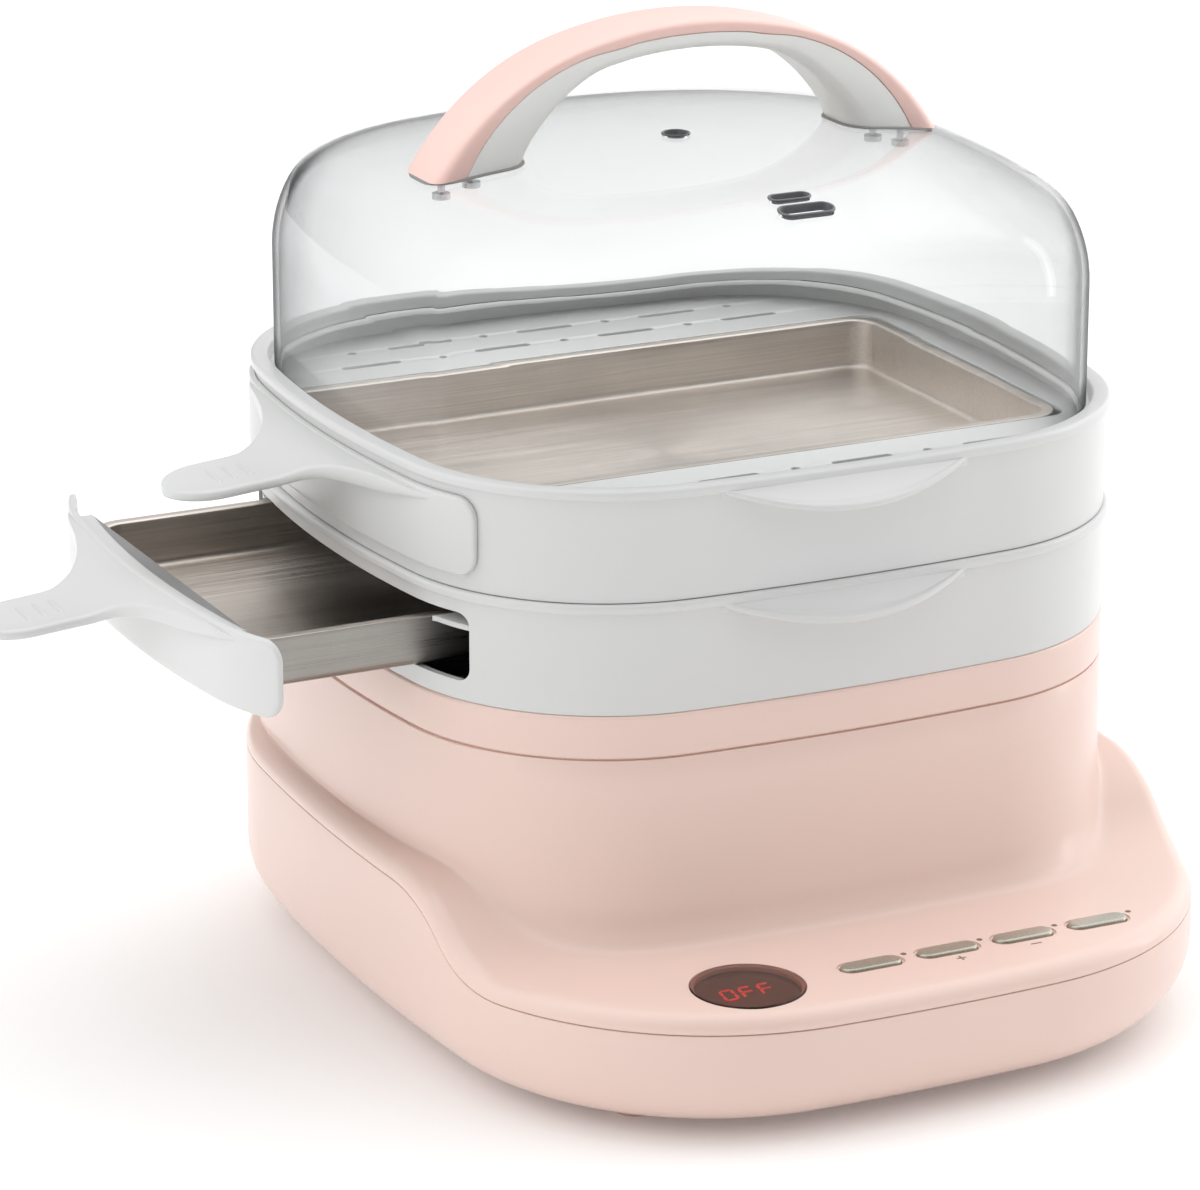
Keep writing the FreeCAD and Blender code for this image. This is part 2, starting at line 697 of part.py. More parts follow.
# ==== basin, heater ============================================================
ring_lo = tower_top
ring_hi = tier_z - seam_gap
rb = new_body("basin_ring_body")
pad(rb, outline(rb, "ring_rebate", TIER, tower_off - 1.3, ring_lo), dim(0.8), name="rebate")
pad(rb, outline(rb, "ring_plan", TIER, tower_off, ring_lo + 0.8), ring_hi - ring_lo - 0.8, name="band")
pad(rb, outline(rb, "ring_skirt", TIER, tower_off - shell - 0.3, ring_lo), dim(6.0), up=False, name="skirt")
pocket(rb, outline(rb, "ring_mouth", TIER, -rim_in, ring_hi), ring_hi - 133.0, name="mouth")
pocket(rb, outline(rb, "ring_throat", TIER, -seat_in, dim(133.0)), dim(2.2), name="throat")
pocket(rb, outline(rb, "ring_inner", TIER, tower_off - shell - 2.7, dim(130.8)), dim(20.0), name="inside")
doc.recompute()
tip = rb.Tip
fillet(rb, tip, edges(tip, lambda e, b: flat(b, ring_hi.v) and b.XLength > 280 or (flat(b, ring_hi.v) and abs(b.XMax) > 100)), dim(0.8))
node("basin_ring", rb)

sb = new_body("basin_seal_body")
pad(sb, outline(sb, "seal_out", TIER, dim(-5.9), dim(133.0)), dim(1.0), name="seal")
pocket(sb, outline(sb, "seal_in", TIER, dim(-10.3), dim(134.0)), dim(2.0), name="seal_hole")
node("basin_seal", sb)

wb = new_body("water_basin_body")
pad(wb, outline(wb, "basin_flange", TIER, dim(-5.9), dim(134.0)), dim(1.2), name="flange")
f = pad(wb, outline(wb, "basin_wall", TIER, dim(-12.5), dim(92.0)), dim(42.2), name="wall")
f = fillet(wb, f, edges(f, lambda e, b: flat(b, 92.0)), dim(9.0))
wi = new_body("water_basin_room")
f = pad(wi, outline(wi, "basin_cavity", TIER, dim(-14.2), dim(94.0)), dim(45.0), name="room")
fillet(wi, f, edges(f, lambda e, b: flat(b, 94.0)), dim(7.3))
node("water_basin", cut("water_basin_solid", wb, [wi]))

hp = new_body("heater_plate_body")
f = pad(hp, outline(hp, "plate_plan", TIER, dim(-48.0), dim(88.5)), dim(3.5), name="plate")
fillet(hp, f, edges(f, lambda e, b: flat(b, 88.5)), dim(1.0), chamfer=True)
node("heater_plate", hp)

# tubular element: open loop with two straight cold ends turned to the rear
ht = new_body("heater_tube_body")
z = dim(84.5)
R = dim(62.0)
spine = path_sketch(ht, "tube_path", "XY_Plane", [
    (dim(-14.0), dim(100.0)), (dim(-14.0), dim(66.0), dim(-34.0), dim(66.0), False),
    (dim(-34.0), dim(46.0), dim(-34.0), dim(0.0), True), (dim(-34.0), dim(-46.0)),
    (dim(34.0), dim(-46.0), dim(34.0), dim(0.0), True), (dim(34.0), dim(46.0), dim(34.0), dim(66.0), False),
    (dim(14.0), dim(66.0)), (dim(14.0), dim(100.0))], z=z, closed=False)
sec = new_sketch(ht, "tube_section", "XZ_Plane", z=dim(-100.0))
sec.addGeometry(Part.Circle(V(-14, 84.5, 0), V(0, 0, 1), 4.0), False)
tie(sec, sec.addConstraint(Sketcher.Constraint("Radius", 0, 4.0)), dim(4.0), "circle_r")
pin(sec, 0, 3, dim(-14.0), z, "c")
pipe = ht.newObject("PartDesign::AdditivePipe", "tube")
pipe.Profile = sec
pipe.Spine = (spine, ["Edge%d" % (i + 1) for i in range(7)])
node("heater_tube", ht)

clips = []
for i, (x, y) in enumerate([(0.0, -46.0), (-80.0, 0.0), (80.0, 0.0)]):
    if i == 0:
        a = box("clip_strap_%d" % i, x - 5.0, x + 5.0, y - 9.0, y + 9.0, dim(79.4), dim(80.4))
        l1 = box("clip_leg_%da" % i, x - 5.0, x + 5.0, y - 9.0, y - 8.0, dim(80.4), dim(88.5))
        l2 = box("clip_leg_%db" % i, x - 5.0, x + 5.0, y + 8.0, y + 9.0, dim(80.4), dim(88.5))
    else:
        a = box("clip_strap_%d" % i, x - 9.0, x + 9.0, y - 5.0, y + 5.0, dim(79.4), dim(80.4))
        l1 = box("clip_leg_%da" % i, x - 9.0, x - 8.0, y - 5.0, y + 5.0, dim(80.4), dim(88.5))
        l2 = box("clip_leg_%db" % i, x + 8.0, x + 9.0, y - 5.0, y + 5.0, dim(80.4), dim(88.5))
    clips.append(fuse("clip_%d" % i, [a, l1, l2]))
node("heater_clips", group("clip_group", clips))

t1 = cyl("thermostat_can", 0.0, 5.0, dim(78.5), dim(88.5), dim(8.6))
t2 = box("thermostat_cap", -7.5, 7.5, -2.5, 12.5, dim(72.5), dim(78.5))
t3 = box("thermostat_tab_a", -11.5, -7.5, 2.0, 8.0, dim(74.0), dim(74.8))
t4 = box("thermostat_tab_b", 7.5, 11.5, 2.0, 8.0, dim(74.0), dim(74.8))
node("thermostat", fuse("thermostat_body", [t1, t2, t3, t4]))
f1 = cyl_x("fuse_sleeve", -32.0, -8.0, -22.0, 85.5, dim(3.0))
f2 = cyl_x("fuse_lead_a", -38.0, -32.0, -22.0, 85.5, dim(0.6))
f3 = cyl_x("fuse_lead_b", -8.0, -2.0, -22.0, 85.5, dim(0.6))
node("thermal_fuse", fuse("thermal_fuse_body", [f1, f2, f3]))
s1 = cyl("ntc_cup", 30.0, -10.0, dim(80.5), dim(88.5), dim(3.2))
s2 = cyl("ntc_stem", 30.0, -10.0, dim(76.5), dim(80.5), dim(1.8))
node("ntc_sensor", fuse("ntc_body", [s1, s2]))

hs = new_body("heat_shield_body")
f = pad(hs, outline(hs, "shield_plan", TIER, dim(-26.0), dim(62.0)), dim(0.8), name="shield")
hs_holes = []
sk = polygon(hs, "shield_pass", [(-60.0, 30.0), (-44.0, 30.0), (-44.0, 46.0), (-60.0, 46.0)], z=dim(62.8))
pocket(hs, sk, dim(3.0), name="wire_pass")
sk = polygon(hs, "shield_leads", [(-20.0, 99.0), (20.0, 99.0), (20.0, 140.0), (-20.0, 140.0)], z=dim(62.8))
pocket(hs, sk, dim(3.0), name="lead_pass")
for i, (x, y) in enumerate(SHIELD):
    pocket(hs, circle(hs, "shield_hole_%d" % i, dim(x), dim(y), dim(1.7), dim(62.8)), dim(3.0), name="hole")
sk = polygon(hs, "shield_front", [(-200.0, -200.0), (200.0, -200.0), (200.0, -92.0), (-200.0, -92.0)], z=dim(62.8))
pocket(hs, sk, dim(3.0), name="front_edge")
node("heat_shield", hs)

# ==== supply electronics =======================================================
pb = new_body("power_board_body")
sk = polygon(pb, "board_plan", [(-76.0, -48.0), (66.0, -48.0), (66.0, 54.0), (-76.0, 54.0)], z=dim(24.0))
pad(pb, sk, dim(1.6), name="board")
for i, (x, y) in enumerate(BOARD):
    pocket(pb, circle(pb, "board_hole_%d" % i, dim(x), dim(y), dim(1.7), dim(25.6)), dim(3.0), name="hole")
node("power_board", pb)
c1 = box("core", -12.0, 24.0, -12.0, 20.0, dim(25.6), dim(48.0))
c2 = box("winding", -6.0, 18.0, -20.0, 28.0, dim(29.0), dim(45.0))
node("transformer", fuse("transformer_body", [c1, c2]))
rl = new_body("relay_body")
f = pad(rl, polygon(rl, "relay_plan", [(-62.0, 8.0), (-42.0, 8.0), (-42.0, 24.0), (-62.0, 24.0)], z=dim(25.6)), dim(15.5), name="can")
fillet(rl, f, edges(f, lambda e, b: flat(b, 41.1)), dim(0.8))
node("relay", rl)
cp = [cyl("can_a", 40.0, 30.0, dim(25.6), dim(43.0), dim(5.0)), cyl("can_b", 52.0, 30.0, dim(25.6), dim(38.0), dim(4.0)),
      cyl("can_c", -30.0, -30.0, dim(25.6), dim(41.0), dim(5.0))]
node("capacitors", group("capacitor_group", cp))
tb = new_body("terminal_body")
f = pad(tb, polygon(tb, "terminal_plan", [(28.0, -38.0), (58.0, -38.0), (58.0, -24.0), (28.0, -24.0)], z=dim(25.6)), dim(13.0), name="block")
for i in range(3):
    pocket(tb, circle(tb, "clamp_%d" % i, dim(33.0 + 10 * i), dim(-31.0), dim(2.4), dim(38.6)), dim(6.0), name="clamp")
node("terminal_block", tb)
scr = []
for i, (x, y) in enumerate(BOARD):
    scr.append(fuse("board_screw_%d" % i, [cyl("bsh_%d" % i, x, y, dim(25.6), dim(27.4), dim(2.6)),
                                           cyl("bss_%d" % i, x, y, dim(15.0), dim(25.6), dim(1.2))]))
for i, (x, y) in enumerate(SHIELD):
    scr.append(fuse("shield_screw_%d" % i, [cyl("ssh_%d" % i, x, y, dim(62.8), dim(64.6), dim(2.6)),
                                            cyl("sss_%d" % i, x, y, dim(51.0), dim(62.8), dim(1.2))]))
for i, (x, y) in enumerate(PANEL):
    scr.append(fuse("panel_screw_%d" % i, [cyl("psh_%d" % i, x, y, dim(35.6), dim(37.2), dim(2.4)),
                                           cyl("pss_%d" % i, x, y, dim(25.0), dim(35.6), dim(1.2))]))
node("board_screws", group("board_screw_group", scr))

# ==== controls =================================================================
cb = new_body("control_board_body")
sk = polygon(cb, "panel_plan", [(-97.0, -162.0), (-97.0, -183.0), (-78.0, -199.0), (80.0, -199.0), (99.0, -188.0), (99.0, -162.0)], z=dim(34.0))
pad(cb, sk, dim(1.6), name="panel_board")
for i, (x, y) in enumerate(PANEL):
    pocket(cb, circle(cb, "panel_hole_%d" % i, dim(x), dim(y), dim(1.7), dim(35.6)), dim(3.0), name="hole")
node("control_board", cb)
dm = new_body("display_module_body")
f = pad(dm, polygon(dm, "module_plan", [(display_x - 14, display_y - 8), (display_x + 14, display_y - 8),
                                        (display_x + 14, display_y + 8), (display_x - 14, display_y + 8)], z=dim(35.6)), ledge_z - 3.9 - 35.6, name="module")
node("display_module", dm)
dl = new_body("display_lens_body")
f = pad(dl, circle(dl, "lens_plan", display_x, display_y, display_d / 2, ledge_z - 1.6), dim(1.9), name="lens")
fillet(dl, f, edges(f, lambda e, b: flat(b, (ledge_z + 0.3).v)), dim(0.4))
node("display_lens", dl)
# three seven-bar figures lying just under the lens
digits = []
for k in range(3):
    cx = display_x - 7.6 + 7.6 * k
    segs = [(-2.2, 3.6, 2.2, 4.6), (-2.2, -0.5, 2.2, 0.5), (-2.2, -4.6, 2.2, -3.6),
            (-2.9, 0.4, -1.9, 3.9), (1.9, 0.4, 2.9, 3.9), (-2.9, -3.9, -1.9, -0.4), (1.9, -3.9, 2.9, -0.4)]
    lit = {0: (3, 4, 5, 6, 0, 2), 1: (0, 1, 2, 3, 6), 2: (0, 3, 4, 5, 6, 2)}[k]
    for j in lit:
        a = segs[j]
        digits.append(box("bar_%d_%d" % (k, j), cx + a[0], cx + a[2], display_y + a[1], display_y + a[3],
                          ledge_z - 3.9, ledge_z - 3.5))
node("display_digits", group("digit_group", digits))
sw = []
for i in range(4):
    kx = key_x0 + key_pitch * i
    base = box("switch_can_%d" % i, kx - 3.0, kx + 3.0, key_y - 3.0, key_y + 3.0, dim(35.6), dim(39.2))
    plun = cyl("switch_plunger_%d" % i, kx, key_y, dim(39.2), dim(42.4), dim(1.7))
    sw.append(fuse("switch_%d" % i, [base, plun]))
node("tact_switches", group("switch_group", sw))
lights = []
for i in range(4):
    kx = key_x0 + key_pitch * i
    lights.append(cyl("light_%d" % i, kx + 15.2, key_y + 3.4, dim(35.6), ledge_z + 0.1, dim(1.0)))
node("indicator_lights", group("light_group", lights))
for i in range(4):
    kx = key_x0 + key_pitch * i
    kb = new_body("key_body_%d" % (i + 1))
    f = pad(kb, pill(kb, "key_top_%d" % (i + 1), kx, key_y, key_l, key_w, dim(46.4)), ledge_z + 1.0 - 46.4, name="cap")
    f = fillet(kb, f, edges(f, lambda e, b: flat(b, (ledge_z + 1.0).v)), dim(0.9))
    pad(kb, circle(kb, "key_stem_%d" % (i + 1), kx, key_y, dim(2.2), dim(46.4)), dim(2.8), up=False, name="stem")
    sk = pill(kb, "key_flange_%d" % (i + 1), kx, key_y, key_l + 3.4, key_w + 3.4, dim(46.4))
    pad(kb, sk, dim(1.2), name="flange")
    node("button_%d" % (i + 1), kb)

# flat cable between the boards, in the YZ plane
cc = new_body("control_cable_body")
sk = path_sketch(cc, "cable_line", "YZ_Plane", [
    (dim(-168.0), dim(32.9)), (dim(-168.0), dim(28.0)), (dim(-66.0), dim(21.0)), (dim(-52.0), dim(21.0)), (dim(-45.0), dim(23.9)),
    (dim(-46.4), dim(23.9)), (dim(-52.4), dim(22.0)), (dim(-66.0), dim(22.0)), (dim(-167.0), dim(29.0)), (dim(-167.0), dim(32.9))])
f = pad(cc, sk, dim(14.0), name="cable")
if "SideType" in f.PropertiesList:
    f.SideType = "Symmetric"
else:
    f.Midplane = True
cs = box("cable_plug_a", -9.0, 9.0, -170.0, -163.0, dim(32.0), dim(34.0))
cs2 = box("cable_plug_b", -9.0, 9.0, -47.5, -42.0, dim(22.0), dim(24.0))
node("control_cable", fuse("control_cable_set", [cc, cs, cs2]))

# gland for the mains lead, bore empty
g1 = cyl_y("gland_body", GX, dim(138.0), dim(157.2), dim(34.0), dim(7.0))
g2 = cyl_y("gland_flange", GX, dim(157.2), dim(160.4), dim(34.0), dim(9.5))
g3 = cyl_y("gland_nose", GX, dim(160.4), dim(166.0), dim(34.0), dim(6.0))
g4 = cyl_y("gland_bore", GX, dim(130.0), dim(170.0), dim(34.0), dim(3.6))
node("cord_gland", cut("cord_gland_body", fuse("gland_solid", [g1, g2, g3]), [g4]))

# fixed leads from the power board up to the element's cold ends
leads = []
for i, x0 in enumerate([-14.0, 14.0]):
    wb_ = new_body("lead_body_%d" % i)
    pth = path_sketch(wb_, "lead_path_%d" % i, "YZ_Plane", [
        (dim(48.0), dim(25.8)), (dim(48.0), dim(46.0), dim(56.0), dim(46.0), False),
        (dim(56.0), dim(54.0)), (dim(98.0), dim(54.0), dim(98.0), dim(62.0), True),
        (dim(106.0), dim(62.0)), (dim(106.0), dim(78.5), dim(100.0), dim(78.5), True),
        (dim(100.0), dim(84.5))], z=dim(x0), closed=False)
    sc = new_sketch(wb_, "lead_section_%d" % i, "XY_Plane", z=dim(25.8))
    sc.addGeometry(Part.Circle(V(x0, 48.0, 0), V(0, 0, 1), 1.2), False)
    tie(sc, sc.addConstraint(Sketcher.Constraint("Radius", 0, 1.2)), dim(1.2), "circle_r")
    pin(sc, 0, 3, dim(x0), dim(48.0), "c")
    pp = wb_.newObject("PartDesign::AdditivePipe", "lead_%d" % i)
    pp.Profile = sc
    pp.Spine = (pth, ["Edge%d" % (k + 1) for k in range(6)])
    leads.append(wb_)
node("heater_leads", group("lead_group", leads))


# ==== tiers ====================================================================
SLOT_ROWS = [(97.5, [-82.5, -27.5, 27.5, 82.5], [-55.0, 0.0, 55.0]),
             (116.5, [-55.0, 0.0, 55.0], [-82.5, -27.5, 27.5, 82.5])]


def tier(prefix, z0):
    """One stacking tier: wall, rim bead, seat for the next piece, slotted decks,
    rails for the tray, opening in the left wall, grip lips front and rear."""
    top = z0 + pitch - seam_gap
    b = new_body(prefix + "_tier_body")
    n = prefix + "_"
    pad(b, outline(b, n + "wall", TIER, dim(0.0), z0), pitch - seam_gap, name="wall")
    f = pad(b, outline(b, n + "bead", TIER, rim_out, top - rim_h), rim_h, name="bead")
    f = fillet(b, f, edges(f, lambda e, bb: (flat(bb, top.v) or flat(bb, (top - rim_h).v)) and
                           max(abs(bb.XMax), abs(bb.XMin), abs(bb.YMin), abs(bb.YMax)) > 0 and on_outline(e, rim_out.v)), dim(1.1))
    # crescent lips
    for side, nm in ((-1, "front"), (1, "rear")):
        cxs = -3.0
        y_in = side * (tier_half_y - 3)
        rise = dim(12.2 + 3.0)
        hw = dim(54.0)
        rr = (hw * hw + rise * rise) / (2 * rise)
        cy = (tier_half_y - 3 + rise - rr)
        if side < 0:
            sk = path_sketch(b, n + nm + "_lip", "XY_Plane", [
                (cxs - hw, -(tier_half_y - 3), dim(cxs), -cy, True), (cxs + hw, -(tier_half_y - 3))], z=top - 15.5)
        else:
            sk = path_sketch(b, n + nm + "_lip", "XY_Plane", [
                (cxs + hw, tier_half_y - 3, dim(cxs), cy, True), (cxs - hw, tier_half_y - 3)], z=top - 15.5)
        pad(b, sk, dim(13.6), name=nm + "_lip")
        # slope the lip's top and underside
        w = tier_half_y + 1.9
        o = tier_half_y + 16
        s = dim(float(side))
        up = polygon(b, n + nm + "_above", [(s * w, top - 2.6), (s * o, top - 13.2), (s * o, top + 4), (s * w, top + 4)],
                     "YZ_Plane", z=dim(0.0))
        pocket(b, up, dim(160.0), both=True, name=nm + "_above")
        dn = polygon(b, n + nm + "_under", [(s * (tier_half_y + 0.02), top - 7.4), (s * o, top - 17.2), (s * o, top - 24), (s * (tier_half_y + 0.02), top - 24)],
                     "YZ_Plane", z=dim(0.0))
        pocket(b, dn, dim(160.0), both=True, name=nm + "_under")
    # inside: mouth, seat, deck
    pocket(b, outline(b, n + "mouth", TIER, -rim_in, top), seat_drop, name="mouth")
    pocket(b, outline(b, n + "throat", TIER, -seat_in, top - seat_drop), dim(2.0), name="throat")
    pocket(b, outline(b, n + "upper_room", TIER, -shell, top - seat_drop - 2), deck_drop - seat_drop - 2, name="upper_room")
    sk = outline(b, n + "lower_room", TIER, -shell, z0 + 2.0)
    pocket(b, sk, pitch - seam_gap - deck_drop - deck_t - 2.0, down=False, name="lower_room")
    pocket(b, outline(b, n + "foot_ring", TIER, dim(-8.6), z0), dim(2.2), down=False, name="foot_ring")
    # spigot that drops inside the rim below
    pad(b, outline(b, n + "spigot", TIER, dim(-6.2), z0), spigot_h, up=False, name="spigot")
    pocket(b, outline(b, n + "spigot_bore", TIER, dim(-8.6), z0 + 0.1), spigot_h + 1, name="spigot_bore")
    # tray bay through the deck, and the opening in the left wall
    deck = top - deck_drop
    bay = round_rect(b, n + "bay", dim(-160.0), bay_x, -bay_y, bay_y, dim(9.0), deck + 0.5)
    pocket(b, bay, deck_t + 1.0, name="bay")
    door = round_rect(b, n + "door", -open_y, open_y, z0 + open_lo, z0 + open_hi, dim(5.0), dim(-170.0))
    door.AttachmentSupport = (plane(b, "YZ_Plane"), [""])
    pocket(b, door, dim(47.0), down=False, name="door")
    # rails under the tray's flange
    for s_, nm in ((-1, "a"), (1, "b")):
        if s_ < 0:
            sk = polygon(b, n + "rail_" + nm, [(dim(-122.0), -(bay_y + 1.2)), (bay_x, -(bay_y + 1.2)), (bay_x, dim(-75.9)), (dim(-122.0), dim(-75.9))], z=deck - 3.1)
        else:
            sk = polygon(b, n + "rail_" + nm, [(dim(-122.0), dim(75.9)), (bay_x, dim(75.9)), (bay_x, bay_y + 1.2), (dim(-122.0), bay_y + 1.2)], z=deck - 3.1)
        pad(b, sk, dim(2.0), name="rail_" + nm)
    # steam slots and dots
    for s_ in (-1, 1):
        for k, (yy, dashes, dots) in enumerate(SLOT_ROWS):
            for j, xx in enumerate(dashes):
                pocket(b, pill(b, "%sslot_%d_%d_%d" % (n, s_ + 1, k, j), dim(xx), dim(s_ * yy), dim(25.0), dim(3.6), deck + 0.1), deck_t + 0.6, name="slot")
            for j, xx in enumerate(dots):
                pocket(b, circle(b, "%sdot_%d_%d_%d" % (n, s_ + 1, k, j), dim(xx), dim(s_ * yy), dim(1.9), deck + 0.1), deck_t + 0.6, name="dot")
    return b


def on_outline(e, off):
    """True for an edge that lies on the tier outline grown by off."""
    m = e.valueAt((e.FirstParameter + e.LastParameter) / 2)
    hx, hy = tier_half_x.v + off, tier_half_y.v + off
    if abs(m.x) > hx - 0.05 or abs(m.y) > hy - 0.05:
        return True
    r = (tier_corner_r.v + off)
    return hasattr(e.Curve, "Radius") and abs(e.Curve.Radius - r) < 0.2


node("lower_tier_shell", tier("lower", tier_z))
node("upper_tier_shell", tier("upper", tier_z + pitch))


# ==== trays ====================================================================
def tray(prefix, z0, shift):
    """Steel pan and its moulded front with the tongue handle, pulled out by shift."""
    n = prefix + "_"
    deck = z0 + pitch - seam_gap - deck_drop
    x0 = -(pan_x0 + shift)
    x1 = pan_x1 - shift
    b = new_body(n + "pan_body")
    f = pad(b, round_rect(b, n + "pan_wall", x0, x1, -pan_y, pan_y, pan_round, deck - pan_depth), pan_depth, name="pan")
    f = fillet(b, f, edges(f, lambda e, bb: flat(bb, (deck - pan_depth).v)), dim(3.0))
    f = pad(b, round_rect(b, n + "pan_flange", x0 - pan_flange, x1 + pan_flange, -(pan_y + pan_flange), pan_y + pan_flange,
                          pan_round + pan_flange, deck - 0.8), dim(0.8), name="flange")
    bi_ = new_body(n + "pan_room")
    f = pad(bi_, round_rect(bi_, n + "pan_cavity", x0 + pan_t, x1 - pan_t, -(pan_y - pan_t), pan_y - pan_t, pan_round - pan_t,
                            deck - pan_depth + pan_t), pan_depth + 5, name="room")
    fillet(bi_, f, edges(f, lambda e, bb: flat(bb, (deck - pan_depth + pan_t).v)), dim(2.2))
    screw_holes = [cyl_x("%span_hole_%d" % (n, i), x0 - 3, x0 + 3, dim(y), deck - 9.5, dim(1.45)) for i, y in enumerate((-20.0, 20.0))]
    node(n + "tray_pan", cut(n + "pan_solid", b, [bi_] + screw_holes))

    lo, hi = z0 + front_lo, z0 + front_hi
    ob = new_body(n + "front_outer")
    pad(ob, outline(ob, n + "front_out", TIER, front_proud, lo), hi - lo, name="skin")
    ib = new_body(n + "front_inner")
    pad(ib, outline(ib, n + "front_in", TIER, dim(0.35), lo - 1), hi - lo + 2, name="core")
    bx = box(n + "front_box", dim(-175.0), dim(-100.0), -front_y, front_y, lo, hi)
    doc.recompute()
    fl = doc.addObject("Part::Fillet", n + "front_corners")
    fl.Base = bx
    fl.Edges = [(i + 1, 8.0, 8.0) for i, e in enumerate(bx.Shape.Edges) if e.BoundBox.XLength > 70]
    skin = common(n + "front_skin", [cut(n + "front_shell", ob, [ib]), fl])
    pb_ = new_body(n + "plug_core")
    pad(pb_, outline(pb_, n + "plug_out", TIER, dim(0.4), z0 + open_lo + 0.8), open_hi - open_lo - 1.6, name="plug")
    pbx = box(n + "plug_box", dim(-175.0), -(pan_x0 + pan_flange + 0.5), dim(-86.0), dim(86.0), z0 + open_lo, z0 + open_hi)
    plug = common(n + "plug", [pb_, pbx])
    block = box(n + "plug_block", -(pan_x0 + pan_flange + 1.5), -(pan_x0 + 0.1), dim(-30.0), dim(30.0),
                deck - 16.5, deck - 2.5)
    # tongue: flared root, rounded tip, drooping a few degrees
    tg = new_body(n + "tongue_body")
    tip_r = tongue_half
    sk = path_sketch(tg, n + "tongue_plan", "XY_Plane", [
        (dim(-143.9), dim(-52.0)),
        (dim(-143.9), dim(52.0)), (dim(-149.0), dim(44.0)), (dim(-156.0), dim(28.0)), (dim(-166.0), tongue_half),
        (-(tongue_tip - tip_r), tongue_half, -(tongue_tip - tip_r), dim(0.0), True), (-(tongue_tip - tip_r), -tongue_half),
        (dim(-166.0), -tongue_half), (dim(-156.0), dim(-28.0)), (dim(-149.0), dim(-44.0))],
        z=hi - 7.4 + 13.0, tilt=-5.0)
    f = pad(tg, sk, tongue_t, up=False, name="tongue")
    raw = fuse(n + "front_raw", [skin, plug, block, tg])
    keep = cut(n + "front_trim", raw, [cut(n + "front_inside", ib, [box(n + "keep_plug", dim(-175.0), dim(-100.0), dim(-86.0), dim(86.0), lo - 2, hi + 2)])])
    final = keep
    if shift.v != 0:
        place(final, x=-shift)
    final = cut(n + "front_final", final, [cyl_x(n + "pilot_%d" % i, -(pan_x0 + 14 + shift), -(pan_x0 - 3 + shift), dim(y), deck - 9.5, dim(1.3)) for i, y in enumerate((-20.0, 20.0))])
    node(n + "tray_front", final)
    scr_ = []
    for i, y in enumerate((-20.0, 20.0)):
        scr_.append(fuse("%stray_screw_%d" % (n, i), [cyl_x("%stsh_%d" % (n, i), x0 + pan_t, x0 + pan_t + 1.4, dim(y), deck - 9.5, dim(2.6)),
                                                      cyl_x("%stss_%d" % (n, i), x0 - 9, x0 + pan_t, dim(y), deck - 9.5, dim(1.25))]))
    node(n + "tray_screws", group(n + "tray_screw_group", scr_))


tray("lower", tier_z, tray_out)
tray("upper", tier_z + pitch, dim(0.0))

# ==== lid ======================================================================
rim_top = tier_z + pitch * 2 - seam_gap
seat_z = rim_top - seat_drop
lid_z = seat_z + 0.25


def dome(name, off, z0, grow):
    """Solid dome: straight wall, rounded shoulder, crowned top."""
    b = new_body(name)
    top = lid_top + grow
    f = pad(b, outline(b, name + "_plan", TIER, off, z0), top + 0.6 - z0, name=name + "_wall")
    f = fillet(b, f, edges(f, lambda e, bb: flat(bb, (top + 0.6).v)), lid_round + grow)
    rad = lid_crown_r + grow
    sag = 0.0
    half = dim(190.0)
    drop = rad - root(rad * rad - half * half)
    sk = path_sketch(b, name + "_crown", "XZ_Plane", [
        (dim(0.0), top), (dim(0.0), top + 30), (half, top + 30),
        (half, top - drop, dim(0.0), top - rad, True)])
    g = b.newObject("PartDesign::Groove", name + "_crowned")
    g.Profile = sk
    g.ReferenceAxis = (sk, ["V_Axis"])
    g.Angle = 360
    return b


d_out = dome("dome_outer", -lid_in, lid_z, dim(0.0))
d_in = dome("dome_inner", -lid_in - lid_t, lid_z - 5, -lid_t)
d_gasket = dome("dome_gasket", -lid_in + gasket_t, lid_z, gasket_t)
v1 = cyl("vent_hole", 0.0, 0.0, dim(300.0), dim(330.0), dim(5.0))
vb = new_body("vent_pills")
pad(vb, pill(vb, "vent_small", dim(0.0), dim(-90.5), dim(16.0), dim(5.6), dim(296.0)), dim(30.0), name="vent_small")
vb2 = new_body("vent_pills_b")
pad(vb2, pill(vb2, "vent_large", dim(0.5), dim(-102.5), dim(21.5), dim(7.6), dim(290.0)), dim(30.0), name="vent_large")
lid_holes = [v1, vb, vb2]
FIX = [-96.0, -84.0, 84.0, 96.0]
for i, x in enumerate(FIX):
    lid_holes.append(cyl("lid_fix_hole_%d" % i, x, 0.0, dim(280.0), dim(330.0), dim(2.2)))
node("lid_dome", cut("lid_dome_solid", d_out, [d_in] + lid_holes))


